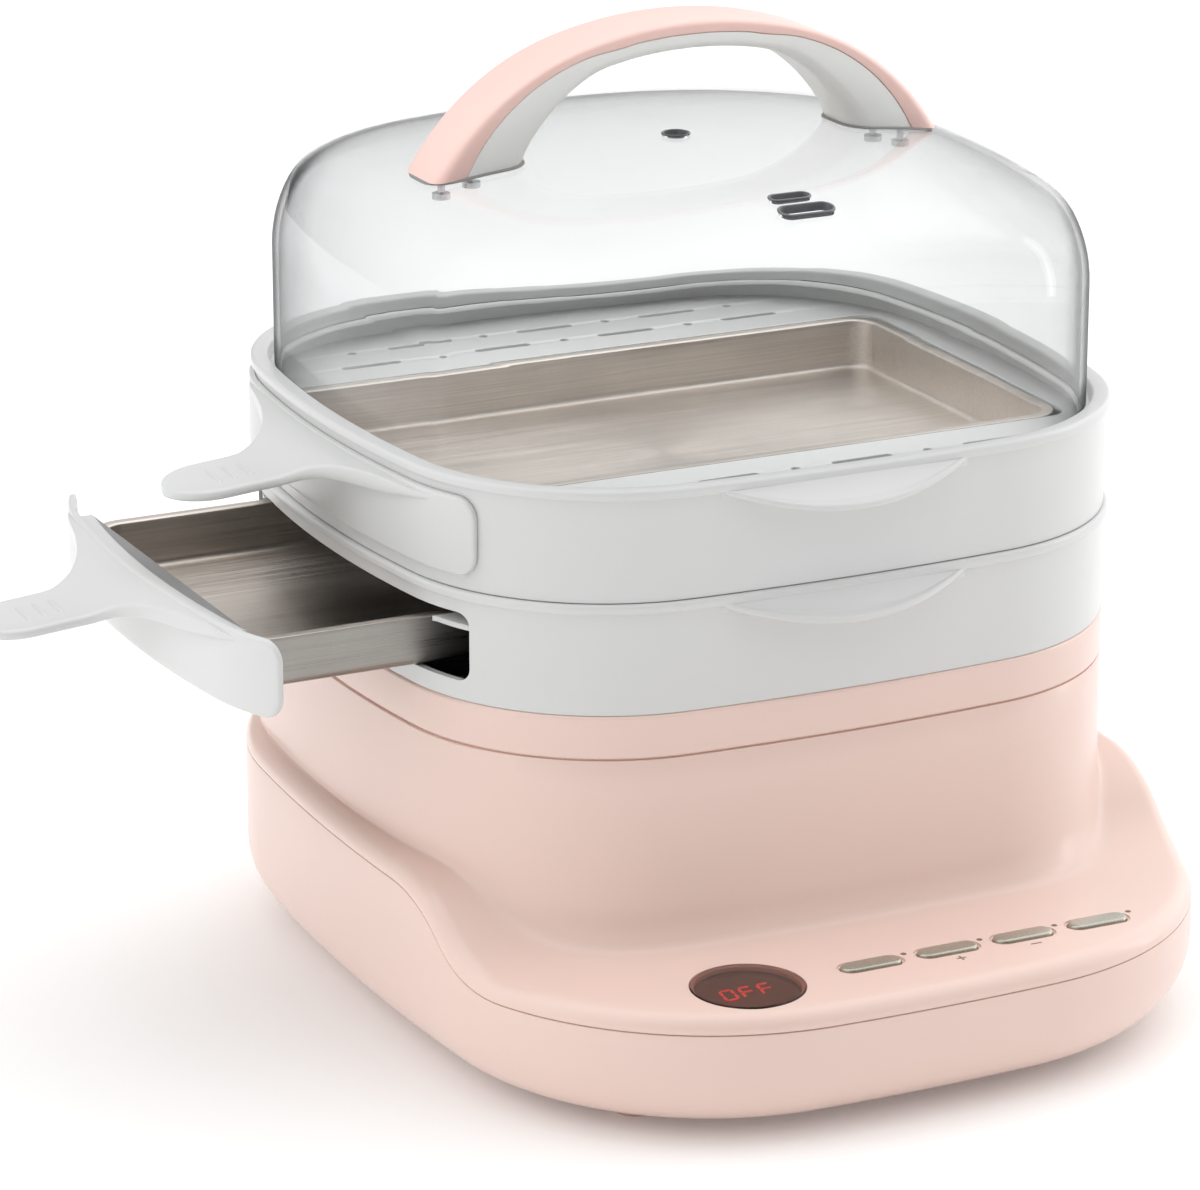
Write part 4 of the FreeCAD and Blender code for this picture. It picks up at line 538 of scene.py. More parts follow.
def disc_pts(cx, cy, r, n=40):
    return [(cx + r * math.cos(2 * math.pi * i / n), cy + r * math.sin(2 * math.pi * i / n)) for i in range(n)]


def smoothstep(t):
    t = max(0.0, min(1.0, t))
    return t * t * (3 - 2 * t)


# ---------------------------------------------------------------- base
LEDGE, SHOULDER = 52.2, 77.5
S_A, S_B = 78.0, 147.0
FALL = SHOULDER - LEDGE
S_R = ((S_B - S_A) ** 2 + FALL ** 2) / (4 * FALL)


def S(y):
    """Height of the shoulder line at depth y: high at the rear, ledge at the front."""
    t = -y
    if t <= S_A:
        return SHOULDER
    if t >= S_B:
        return LEDGE
    mid = (S_A + S_B) / 2
    if t <= mid:
        return SHOULDER - S_R + math.sqrt(S_R ** 2 - (t - S_A) ** 2)
    return LEDGE + S_R - math.sqrt(S_R ** 2 - (S_B - t) ** 2)


FLARE = [(-4.5, 10.0), (0, 9.2), (3.5, 6.1), (8, 3.6), (14, 1.8), (22, 0.75), (34, 0.1), (52, 0.0), (80, 0.0)]


def flare(z):
    h = z - LEDGE
    xs, ys = [a for a, b in FLARE], [b for a, b in FLARE]
    # smooth the table with a small running mean
    return float(np.mean(np.interp([h - 2, h - 1, h, h + 1, h + 2], xs, ys))) + 0.55


def unit(v):
    return v / np.linalg.norm(v)


def housing_surface(N=320):
    """Rings of the upper casing; every ring point keeps the same bearing from the tower's middle."""
    dt = plan(TIER, 0.0)
    cy = -12.0
    a0 = np.unwrap(np.append(np.arctan2(dt[:, 1] - cy, dt[:, 0]), math.atan2(dt[0, 1] - cy, dt[0, 0]) + 2 * math.pi))
    ang = np.interp(np.linspace(0, len(dt), N, endpoint=False), np.arange(len(dt) + 1), a0)
    ca, sa = np.cos(ang), np.sin(ang)
    memo = {}

    def reach(kind, o):
        """Distance of the outline from the middle along each bearing."""
        key = (kind, round(o, 3))
        if key not in memo:
            p = plan(kind, o)
            a = np.arctan2(p[:, 1] - cy, p[:, 0])
            rr = np.hypot(p[:, 0], p[:, 1] - cy)
            k = np.argsort(a)
            aa = np.concatenate([a[k] - 2 * math.pi, a[k], a[k] + 2 * math.pi])
            w = (ang + math.pi) % (2 * math.pi) - math.pi
            memo[key] = np.interp(w, aa, np.tile(rr[k], 3))
        return memo[key]

    r0, r12 = reach(TIER, 0.0), reach(TIER, 12.0)

    def wall_r(z):
        return r0 + (r12 - r0) * (np.array([flare(q) for q in z]) / 12.0)

    def at(r, z):
        return np.c_[ca * r, cy + sa * r, z]

    def s_of(r):
        return np.array([S(q) for q in cy + sa * r])

    rings = []
    out = reach(BASE, 0.0)
    seam = s_of(out) - 7.35
    rings.append(at(reach(BASE, -2.6), seam))
    rings.append(at(reach(BASE, -0.45), seam))
    rings.append(at(reach(BASE, -0.12), seam + 0.09))
    # edge round up to the shoulder, then the shelf, each kept outside the tower's own wall
    R = 7.0
    for i in range(0, 11):
        a = rad(90 * i / 10)
        r = reach(BASE, -R * (1 - math.cos(a)))
        z = s_of(r) - R * (1 - math.sin(a)) + (0.06 if i == 0 else 0.0)
        rings.append(at(np.maximum(r, wall_r(z) + 0.02 * (10 - i)), z))
    ie = reach(BASE, -R)
    foot = r0 + 2.0
    for _ in range(8):
        foot = wall_r(s_of(foot))
    zf = s_of(foot)
    K = 10
    shelf = []
    for i in range(1, K + 1):
        t = i / K
        r = ie * (1 - t) + foot * t
        z = s_of(r)
        near = np.clip(1.0 - (ie - foot) / 2.0, 0.0, 1.0)
        z = z + near * 0.1 * i
        shelf.append(at(np.maximum(r, wall_r(z) + 0.002 * (K - i)), z))
    wall = []
    for dz in (1.2, 2.6, 4.2, 6.2, 8.6, 11.5, 15, 19.5, 25, 32):
        z = zf + dz
        wall.append(at(wall_r(z), z))
    z0 = wall[-1][:, 2].copy()
    for f in (0.3, 0.6, 0.99):
        z = z0 + (124.0 - z0) * f
        wall.append(at(wall_r(z), z))
    arr = np.stack(shelf + wall)
    for _ in range(3):
        a2 = arr.copy()
        a2[1:-1] = 0.25 * arr[:-2] + 0.5 * arr[1:-1] + 0.25 * arr[2:]
        w = np.zeros(len(arr))
        w[K - 4:K + 4] = 1.0
        arr = arr * (1 - w)[:, None, None] + a2 * w[:, None, None]
    rings += list(arr)
    # tower's top edge, turned in, then the inside skin back down to the seam
    rings.append(at(reach(TIER, 0.2), np.full(N, 124.15)))
    rings.append(at(reach(TIER, -0.2), np.full(N, 124.2)))
    rings.append(at(reach(TIER, -2.0), np.full(N, 124.2)))
    rings.append(at(reach(TIER, -2.4), np.full(N, 100.0)))
    r = r0 - 2.6
    rings.append(at(r, s_of(r) - 3.2))
    r = np.minimum(reach(BASE, -6.5), np.maximum(reach(BASE, -6.5), r0 - 2.0))
    rings.append(at(r, s_of(r) - 3.6))
    return rings


hr = housing_surface()
housing = rings_mesh("upper_casing", hr, "pink", "base", close_k=True, node="top_housing", slot="pink_shell", sharp=42)

DX, DY, DD = -64.2, -186.3, 41.5
KX, KP, KY, KL, KW = -15.2, 31.4, -187.5, 24.0, 8.0
cut = [prism(disc_pts(DX, DY, DD / 2 + 0.3, 72), LEDGE - 1.7, LEDGE + 6), prism(disc_pts(DX, DY, DD / 2 - 1.6, 64), LEDGE - 12, LEDGE + 6)]
for i in range(4):
    kx = KX + KP * i
    cut.append(prism(pill_pts(kx, KY, KL + 2.6, KW + 2.6), LEDGE - 0.7, LEDGE + 6))
    cut.append(prism(pill_pts(kx, KY, KL + 0.6, KW + 0.6), LEDGE - 12, LEDGE + 6))
    cut.append(prism(disc_pts(kx + 15.2, KY + 3.4, 1.15, 20), LEDGE - 12, LEDGE + 6))
apply_bool(housing, cut)


def bowl():
    fn = lambda o: plan(BASE, o)
    N = len(fn(0))
    R, t, zb = 27.0, 2.6, 4.0
    rings = []
    for i in range(0, 15):
        a = rad(90 * i / 14)
        o = -R * (1 - math.sin(a))
        rings.append(np.c_[fn(o), np.full(N, zb + R * (1 - math.cos(a)))])
    p = fn(0.0)
    seam = np.array([S(q[1]) - 7.7 for q in p])
    base = rings[-1][:, 2]
    for f in (0.35, 0.7, 1.0):
        rings.append(np.c_[p, base + (seam - 0.5 - base) * f])
    rings.append(np.c_[fn(-0.12), seam - 0.13])
    rings.append(np.c_[fn(-0.45), seam])
    rings.append(np.c_[fn(-2.6), seam])
    ri = R - t
    base = np.full(N, zb + t + ri)
    rings.append(np.c_[fn(-t), base + (seam - 0.5 - base) * 0.5])
    for i in range(8, -1, -1):
        a = rad(90 * i / 8)
        rings.append(np.c_[fn(-t - ri * (1 - math.sin(a))), np.full(N, zb + t + ri * (1 - math.cos(a)))])
    return rings


br = bowl()
b_ob = rings_mesh("lower_casing", br, "pink", "base", close_k=False, cap0=True, cap1=True, node="bottom_bowl", slot="pink_shell")
cut = []
for x, y in [(-95.0, -158.0), (95.0, -158.0), (-100.0, 98.0), (100.0, 98.0)]:
    cut.append(prism(disc_pts(x, y, 8.7, 40), 0.0, 5.2))
for x, y in [(128.0, 62.0), (-128.0, 62.0), (103.0, -150.0), (-103.0, -150.0)]:
    cut.append(prism(disc_pts(x, y, 3.4, 28), 0.0, 12.0))
for i in range(9):
    cut.append(prism([(q[0], q[1]) for q in rrect(-44.0 + 11 * i, -41.0 + 11 * i, -20.0, 25.0, 1.45, 0.0, 6, 2)], 0.0, 12.0))
cut.append(prism(disc_pts(96.0, 34.0, 7.3, 32), 120.0, 175.0, "xz"))
apply_bool(b_ob, cut)

# band that carries the lowest tier: shadow groove, upright face, turned-in mouth
sweep("tower_band", lambda o: plan(TIER, o), rounded([
    (-0.75, 124.2, 0.05), (-0.75, 125.0, 0.2), (0.55, 125.0, 0.6), (0.55, 140.95, 1.2), (-5.5, 140.95, 0.8), (-5.5, 133.0, 0.5),
    (-10.5, 133.0, 0.5), (-10.5, 130.8, 0.3), (-4.75, 130.8, 0.3), (-4.75, 118.2, 0.4), (-2.35, 118.2, 0.4), (-2.35, 124.2, 0.2)]),
    "pink", "base", node="basin_ring", slot="pink_shell")

# ---------------------------------------------------------------- controls
lens = []
r0 = DD / 2
for rr, z in [(r0, LEDGE - 1.6), (r0, LEDGE - 0.1), (r0 - 0.15, LEDGE + 0.12), (r0 - 0.5, LEDGE + 0.26), (r0 - 1.4, LEDGE + 0.30),
              (r0 * 0.6, LEDGE + 0.32), (r0 * 0.25, LEDGE + 0.33)]:
    lens.append([(x, y, z) for x, y in disc_pts(DX, DY, rr, 72)])
rings_mesh("display_cover", lens, "lens_clear", "base", close_k=False, cap0=True, cap1=True,
           node="display_lens", slot="dark_lens", sharp=50)


def crowned_key(name, cx, cy, L, W, z_lo, z_hi, body, node):
    rings = []
    for ins, z in [(0, z_lo), (0, z_hi - 1.1), (0.08, z_hi - 0.75), (0.3, z_hi - 0.4), (0.7, z_hi - 0.15), (1.3, z_hi - 0.05), (2.2, z_hi), (3.6, z_hi + 0.0)]:
        rings.append([(x, y, z) for x, y in pill_pts(cx, cy, L - 2 * ins, max(W - 2 * ins, 0.3), 14)])
    return rings_mesh(name, rings, "key", body, close_k=False, cap0=True, cap1=True, node=node, slot="key_metallic", sharp=60)


for i in range(4):
    crowned_key("key_cap_%d" % (i + 1), KX + KP * i, KY, KL, KW, 46.4, LEDGE + 1.0, "button_%d" % (i + 1), "button_%d" % (i + 1))

# dark mask under the cover and the lit figures on it
mask = [[(x, y, z) for x, y in disc_pts(DX, DY, DD / 2 - 1.75, 64)] for z in (48.25, 48.8)]
rings_mesh("display_mask", mask, "lens", "base", close_k=False, cap0=True, cap1=True)


def bar(p, q, w, slant):
    """Six-sided light bar from p to q in figure units, leaned by slant."""
    (x0, y0), (x1, y1) = p, q
    L = math.hypot(x1 - x0, y1 - y0)
    ux, uy = (x1 - x0) / L, (y1 - y0) / L
    h = w / 2
    pts = [(0.25, 0), (0.25 + h, h), (L - 0.25 - h, h), (L - 0.25, 0), (L - 0.25 - h, -h), (0.25 + h, -h)]
    out = []
    for a, b in pts:
        x, y = x0 + ux * a - uy * b, y0 + uy * a + ux * b
        out.append((x + y * slant, y))
    return out


FIGS = ["abcdef", "aefg", "aefg"]
FW, FH = 4.6, 8.2
BARS = {"a": ((0, FH), (FW, FH)), "b": ((FW, FH / 2), (FW, FH)), "c": ((FW, 0), (FW, FH / 2)), "d": ((0, 0), (FW, 0)),
        "e": ((0, 0), (0, FH / 2)), "f": ((0, FH / 2), (0, FH)), "g": ((0, FH / 2), (FW, FH / 2))}
vs, fs = [], []
for k, fig in enumerate(FIGS):
    for c in fig:
        pts = bar(*BARS[c], 1.05, 0.1)
        b0 = len(vs)
        for z in (48.75, 49.1):
            vs += [(DX - 10.2 + 7.4 * k + x, DY - FH / 2 + y, z) for x, y in pts]
        n = len(pts)
        fs += [tuple(b0 + i for i in range(n)), tuple(b0 + n + i for i in range(n))]
        fs += [(b0 + i, b0 + (i + 1) % n, b0 + n + (i + 1) % n, b0 + n + i) for i in range(n)]
make("display_figures", vs, fs, "glow", "base", node="display_digits", smooth=False)


def flat_mark(name, polys, z, t, mat, body):
    vs, fs = [], []
    for pts in polys:
        b0, n = len(vs), len(pts)
        vs += [(x, y, z) for x, y in pts] + [(x, y, z + t) for x, y in pts]
        fs += [tuple(b0 + i for i in range(n)), tuple(b0 + n + i for i in range(n))]
        fs += [(b0 + i, b0 + (i + 1) % n, b0 + n + (i + 1) % n, b0 + n + i) for i in range(n)]
    return make(name, vs, fs, mat, body, smooth=False)


def stroke(x0, y0, x1, y1, w):
    L = math.hypot(x1 - x0, y1 - y0)
    ux, uy = (x1 - x0) / L, (y1 - y0) / L
    h = w / 2
    out = []
    for cx, cy, s in ((x1, y1, 1), (x0, y0, -1)):
        for k in range(7):
            a = rad(-90 + 30 * k)
            dx, dy = h * math.cos(a) * s, h * math.sin(a) * s
            out.append((cx + ux * dx - uy * dy, cy + uy * dx + ux * dy))
    return out


PL, MI = (16.8, -196.6), (48.1, -196.2)
plus = [(-0.4, -1.9), (0.4, -1.9), (0.4, -0.4), (1.9, -0.4), (1.9, 0.4), (0.4, 0.4), (0.4, 1.9), (-0.4, 1.9), (-0.4, 0.4), (-1.9, 0.4),
        (-1.9, -0.4), (-0.4, -0.4)]
flat_mark("mark_plus", [[(PL[0] + a, PL[1] + b) for a, b in plus]], LEDGE - 0.03, 0.07, "print", "base")
flat_mark("mark_minus", [stroke(MI[0] - 1.9, MI[1], MI[0] + 1.9, MI[1], 0.8)], LEDGE - 0.03, 0.07, "print", "base")

# ---------------------------------------------------------------- tiers
PITCH = 42.05
TIER_Z = 141.2
PAN_Y, PAN_X0, PAN_X1 = 74.5, 132.0, 123.0
SLOT_ROWS = [(97.5, [-82.5, -27.5, 27.5, 82.5], [-55.0, 0.0, 55.0]),
             (116.5, [-55.0, 0.0, 55.0], [-82.5, -27.5, 27.5, 82.5])]


def face_y(x, off=0.0):
    """Depth of the tier's long face at x."""
    return (143.3 - 905.5) + math.sqrt((905.5 + off) ** 2 - x * x)


def side_x(y, off=0.0):
    return (145.0 - 520.4) + math.sqrt((520.4 + off) ** 2 - y * y)


def deck_plate(name, z_top, body):
    """Slotted deck with the tray's bay cut from its left side."""
    out = plan(TIER, -2.1)
    yb, xb, r = 79.4, 128.6, 9.0
    keep = [tuple(p) for p in out if not (p[0] < 0 and abs(p[1]) < yb)]
    # start just below the bay on the left and run round to just above it
    k = max(range(len(keep)), key=lambda i: math.hypot(keep[i][0] - keep[i - 1][0], keep[i][1] - keep[i - 1][1]))
    keep = keep[k:] + keep[:k]
    xl = -side_x(yb, -2.1)
    if keep[0][1] > 0:
        keep = keep[::-1]
    bay = [(xl, yb)] + [(xb - r + r * math.sin(rad(90 * i / 8)), yb - r + r * math.cos(rad(90 * i / 8))) for i in range(9)] + \
          [(xb - r + r * math.cos(rad(90 * i / 8)), -yb + r - r * math.sin(rad(90 * i / 8))) for i in range(9)] + [(xl, -yb)]
    outer = keep + bay
    loops = [outer]
    for s in (-1, 1):
        for yy, dashes, dots in SLOT_ROWS:
            for x in dashes:
                loops.append(pill_pts(x, s * yy, 25.3, 3.9, 8))
            for x in dots:
                loops.append(disc_pts(x, s * yy, 2.05, 20))
    cu = bpy.data.curves.new(name + "_c", "CURVE")
    cu.dimensions = "2D"
    cu.fill_mode = "BOTH"
    cu.extrude = 0.85 * MM
    cu.bevel_depth = 0.15 * MM
    cu.bevel_resolution = 1
    for lp in loops:
        sp = cu.splines.new("POLY")
        sp.points.add(len(lp) - 1)
        for i, q in enumerate(lp):
            sp.points[i].co = (q[0] * MM, q[1] * MM, 0, 1)
        sp.use_cyclic_u = True
    co = bpy.data.objects.new(name + "_c", cu)
    scene.collection.objects.link(co)
    bpy.context.view_layer.update()
    dg = bpy.context.evaluated_depsgraph_get()
    me = bpy.data.meshes.new_from_object(co.evaluated_get(dg), depsgraph=dg)
    vs = [(v.co.x / MM, v.co.y / MM, v.co.z / MM + z_top - 1.0) for v in me.vertices]
    fs = [tuple(p.vertices) for p in me.polygons]
    bpy.data.objects.remove(co)
    return make(name, vs, fs, "white", body, sharp=30, slot="white_shell")


def grip_lip(name, top, side, body):
    """Crescent grip: a shallow scoop that runs out of the rim and ends in a thin rolled edge."""
    hw, rise = 54.0, 15.2
    rr = (hw * hw + rise * rise) / (2 * rise)
    cy = 143.3 - 3 + rise - rr
    n, rings = 64, []
    for i in range(n + 1):
        u = -math.cos(math.pi * i / n)
        x = hw * u * 0.999
        ye = cy + math.sqrt(rr * rr - x * x)
        xa = x - 3.0
        yw = face_y(xa)
        r = max(ye - yw, -1.2)
        D = 0.78 * max(r, 0) + 0.35
        th = 2.3 + 0.03 * max(r, 0)
        prof = []
        y0 = yw - 2.2
        if r < 1.6:
            r = max(r, -0.8)
        prof.append((y0, top - 1.4))
        m = 12
        for j in range(m + 1):
            t = j / m
            dish = -0.9 * math.sin(math.pi * t) * min(1.0, max(r, 0) / 8.0)
            lip = 0.55 * smoothstep((t - 0.82) / 0.14) * min(1.0, max(r, 0) / 6.0)
            prof.append((yw + max(r - 0.9, -1.0) * t, top - 1.2 - D * t + dish + lip))
        ze = prof[-1][1]
        for a in (60, 20, -20, -60):
            prof.append((yw + r - 0.9 + 0.9 * math.cos(rad(a)), ze - th / 2 + th / 2 * math.sin(rad(a))))
        prof.append((yw + max(r - 0.9, -1.0), ze - th))
        for t in (0.66, 0.33):
            prof.append((yw + max(r - 0.9, -1.0) * t, (ze - th) * t + (top - 7.2) * (1 - t) - 0.7 * math.sin(math.pi * t)))
        prof.append((yw - 0.2, top - 7.4))
        prof.append((y0, top - 7.4))
        rings.append([(xa * 1.0, side * py, pz) for py, pz in prof])
    return rings_mesh(name, rings, "white", body, close_k=False, cap0=True, cap1=True, slot="white_shell", sharp=50)


def tier(prefix, z0, body):
    T = z0 + PITCH - 0.25
    prof = rounded([
        (0.0, z0 - 0.12, 0.3), (0.0, T - 3.9, 0.7), (1.7, T - 3.9, 1.0), (1.7, T - 0.02, 1.5), (-5.5, T - 0.55, 1.2), (-5.5, T - 5.0, 0.9),
        (-10.5, T - 5.0, 0.8), (-10.5, T - 7.0, 0.6), (-2.6, T - 7.0, 0.8), (-2.6, z0 + 2.0, 0.8), (-8.6, z0 + 2.0, 0.3),
        (-8.6, z0 - 4.0, 0.5), (-6.2, z0 - 4.0, 0.8), (-6.2, z0 - 0.12, 0.3)], 5)
    ob = sweep(prefix + "_tier_wall", lambda o: plan(TIER, o), prof, "white", body, node=prefix + "_tier_shell", slot="white_shell")
    door = rrect(-98.0, 98.0, z0 + 7.05, z0 + 32.75, 5.0, 0.0, 8, 3)
    apply_bool(ob, [prism([(q[0], q[1]) for q in door], -175.0, -120.0, "yz")])
    deck_plate(prefix + "_tier_deck", T - 14.0, body)
    for s, nm in ((-1, "front"), (1, "rear")):
        grip_lip("%s_%s_grip" % (prefix, nm), T, s, body)
        y0, y1 = (75.9, 80.6) if s > 0 else (-80.6, -75.9)
        rr_ = rrect(-122.0, 128.6, y0, y1, 0.8, 0.0, 3, 2)
        d = T - 14.0
        rings_mesh("%s_rail_%s" % (prefix, nm), [
            [(a, b, d - 3.1) for a, b in rrect(-122, 128.6, y0, y1, 0.8, -0.3, 3, 2)],
            [(a, b, d - 2.8) for a, b in rr_], [(a, b, d - 1.4) for a, b in rr_],
            [(a, b, d - 1.1) for a, b in rrect(-122, 128.6, y0, y1, 0.8, -0.3, 3, 2)]],
            "white", body, close_k=False, cap0=True, cap1=True, slot="white_shell")
    return ob


tier("lower", TIER_Z, "lower_tier")
tier("upper", TIER_Z + PITCH, "upper_tier")


# ---------------------------------------------------------------- trays
def side_table():
    """Arc length along the tier outline from the middle of the left side, with normals."""
    p0, p1 = plan(TIER, 0.0), plan(TIER, 1.0)
    nrm = p1 - p0
    order = sorted(range(len(p0)), key=lambda i: math.atan2(p0[i][1], -p0[i][0]))
    P, Nn = p0[order], nrm[order]
    d = np.concatenate([[0], np.cumsum(np.linalg.norm(np.diff(P, axis=0), axis=1))])
    mid = np.interp(0.0, np.arctan2(P[:, 1], -P[:, 0]), d)
    return d - mid, P, Nn


ST = side_table()


def on_side(u, off):
    d, P, Nn = ST
    p = np.array([np.interp(u, d, P[:, 0]), np.interp(u, d, P[:, 1])])
    n = unit(np.array([np.interp(u, d, Nn[:, 0]), np.interp(u, d, Nn[:, 1])]))
    return p + n * off


def u_at_y(y):
    d, P, Nn = ST
    lo, hi = 0.0, 130.0
    for _ in range(40):
        m = (lo + hi) / 2
        if on_side(m, 0)[1] < y:
            lo = m
        else:
            hi = m
    return lo


OUT_T = [on_side(u, 0.0) for u in np.linspace(0.0, 120.0, 121)]


def out_x(y):
    """Distance from the middle plane to the tier's left outline at y, corners included."""
    return float(np.interp(abs(y), [q[1] for q in OUT_T], [-q[0] for q in OUT_T]))


def tray(prefix, z0, shift, body):
    T = z0 + PITCH - 0.25
    rim = T - 14.0
    lo, hi = z0 + 5.35, z0 + 34.55
    b0 = rim - 20.0
    x0, x1 = -(PAN_X0 + shift), PAN_X1 - shift
    # pan: one closed skin, outer wall, rolled flange, inner wall, floor
    prof = []
    for i in range(6):
        a = rad(90 * i / 5)
        prof.append((-3.0 * (1 - math.sin(a)), b0 + 3.0 * (1 - math.cos(a))))
    prof += [(0.0, rim - 2.6), (0.12, rim - 1.7), (0.5, rim - 1.15), (1.1, rim - 0.85)]
    prof += [(3.35, rim - 0.84), (3.62, rim - 1.05), (3.9, rim - 0.86), (4.0, rim - 0.5), (3.9, rim - 0.16), (3.6, rim - 0.02), (3.2, rim)]
    prof += [(0.6, rim), (-0.1, rim - 0.12), (-0.6, rim - 0.55), (-0.8, rim - 1.3), (-0.8, b0 + 3.2)]
    for i in range(1, 6):
        a = rad(90 * i / 5)
        prof.append((-0.8 - 2.2 * (1 - math.cos(a)), b0 + 3.0 - 2.2 * math.sin(a)))
    rings = [[(x, y, z) for x, y in rrect(x0, x1, -PAN_Y, PAN_Y, 10.0, o, 9, 14)] for o, z in prof]
    last = prof[-1]
    for s in (0.97, 0.9):
        cx = (x0 + x1) / 2
        rings.append([((x - cx) * s + cx, y * s, b0 + 0.8) for x, y in rrect(x0, x1, -PAN_Y, PAN_Y, 10.0, last[0], 9, 14)])
    pan = rings_mesh(prefix + "_pan", rings, "steel", body, close_k=False, cap0=True, cap1=True,
                     node=prefix + "_tray_pan", slot="pan_steel", sharp=34)
    # faces pointing down or outward get the darker steel copy: painted shade on the pan's outside and underside
    pan.data.materials.append(M["steel_out"])
    pcx = (x0 + x1) / 2 * MM
    for f in pan.data.polygons:
        if f.normal.z < -0.5 or (abs(f.normal.z) < 0.6 and f.normal.x * (f.center.x - pcx) + f.normal.y * f.center.y > 0):
            f.material_index = 1
    # front panel: rounded rectangle wrapped on the tier's side
    U = u_at_y(101.5)
    hw, hh, zc, cr = U, (hi - lo) / 2, (hi + lo) / 2, 8.0
    seq = [(0.6, 0.36), (0.0, 0.36), (0.0, 1.3), (0.1, 1.75), (0.4, 2.15), (0.9, 2.38), (1.7, 2.48), (2.8, 2.5)]
    seq += [(d, 2.5) for d in (5.0, 7.6, 10.2, 12.6, 14.6)]
    rings = []
    for ins, h in seq:
        q = rrect(-hw, hw, -hh, hh, cr, -ins, 9, 40)
        if ins > 10:
            q = rrect(-hw, hw, -hh, hh, cr, -10.2, 9, 40)
            k = (14.6 - ins) / (14.6 - 10.2)
            q = np.c_[q[:, 0] * (1 - 0.0), q[:, 1] * k]
            q[:, 0] = np.clip(q[:, 0], -(hw - ins), hw - ins)
        rings.append([(*(on_side(a, h) - np.array([shift, 0])), zc + b) for a, b in q])
    back_r = []
    for ins in (0.6, 6.0, 14.6):
        q = rrect(-hw, hw, -hh, hh, cr, -min(ins, 10.2), 9, 40)
        if ins > 10:
            q = np.c_[np.clip(q[:, 0], -(hw - ins), hw - ins), q[:, 1] * (14.6 - ins) / 4.4]
        back_r.append([(*(on_side(a, 0.36) - np.array([shift, 0])), zc + b) for a, b in q])
    allr = back_r[::-1] + rings[1:]
    panel = rings_mesh(prefix + "_front_panel", allr, "white", body, close_k=False,
                       node=prefix + "_tray_front", slot="white_shell", sharp=45)
    # moulded block behind the panel that fills the opening and carries the pan
    q0 = rrect(-97.0, 97.0, z0 + 7.9, z0 + 31.9, 4.2, 0.0, 8, 30)
    blk = []
    for ins, dep, half in [(0.8, 0.37, 86.0), (0.0, 0.37, 86.0), (0.0, -1.7, 86.0), (0.0, -1.72, 76.0), (0.0, -6.2, 76.0), (0.4, -6.7, 76.0)]:
        q = rrect(-97.0, 97.0, z0 + 7.9, z0 + 31.9, 4.2, -ins, 8, 30)
        row = []
        for yy, zz in q:
            yc = max(-half, min(half, yy))
            x = -side_x(yc, dep)
            row.append((x - shift, yc, zz))
        blk.append(row)
    rings_mesh(prefix + "_front_plug", blk, "white", body, close_k=False, cap0=True, cap1=True, slot="white_shell", sharp=45)
    # tongue: rows at a set distance out from the tier's side; the root widens along the panel's top
    st = []
    for i in range(0, 15):
        a = rad(90 * i / 14)
        st.append((63.0 - 18.0 * (1 - math.cos(a)), 18.0 * math.sin(a)))
    st += [(41, 18.0), (36, 18.0), (31, 18.15), (27, 18.6), (23.5, 19.5), (20.5, 21.0), (17.8, 23.2), (15.4, 26.2), (13.2, 30.0), (11.2, 34.6),
           (9.5, 40.0), (8.0, 46.2), (6.7, 53.0), (5.6, 60.4), (4.7, 68.0), (3.9, 75.0), (3.1, 80.6), (2.4, 85.0), (1.8, 88.4), (1.5, 90.0)]
    # fill in rows so the widening root keeps an even edge
    head, tail = st[:18], st[18:]
    ws = np.arange(tail[0][1], tail[-1][1], 1.15)
    hs = np.interp(ws, [q[1] for q in tail], [q[0] for q in tail])
    for _ in range(6):
        hs[1:-1] = 0.25 * hs[:-2] + 0.5 * hs[1:-1] + 0.25 * hs[2:]
    st = head + list(zip(hs, ws))
    m = 33
    rings = []
    for h, w in st:
        k = smoothstep((29.0 - h) / 27.0)
        th = 4.0 + 1.2 * k
        row_t, row_b = [], []
        for j in range(m):
            v = -1 + 2 * j / (m - 1)
            vy = math.sin(v * math.pi / 2)
            ww = max(w, 0.05)
            y = vy * ww
            x = -(out_x(y) + h)
            top = hi + 5.6 + (-145.0 - h) * math.sin(rad(5.0))
            top = top * (1 - k) + (hi - 0.7) * k
            # towards the panel's ends the shelf thins and tucks under its rounded corner
            e = smoothstep((abs(y) - 50.0) / 40.0)
            tt = th * (1 - 0.72 * e)
            top -= 1.5 * e
            edge = max(0.0, 1 - (1 - abs(vy)) * ww / 1.9)
            dz = tt / 2 * (1 - math.sqrt(max(0.0, 1 - edge ** 2)))
            dish = 0.7 * (1 - abs(vy) ** 2.2) * (1 - k)
            row_t.append((x - shift, y, top - dz - dish))
            row_b.append((x - shift, y, top - tt + dz * 0.98 - 0.9 * k * (1 - e) * (1 - edge)))
        rings.append(row_t + row_b[::-1])
    rings.append([(p[0] + 0.1, p[1], p[2]) for p in rings[-1]])
    tng = rings_mesh(prefix + "_tongue", rings, "white", body, close_k=False, cap0=True, cap1=True, slot="white_shell", sharp=50)
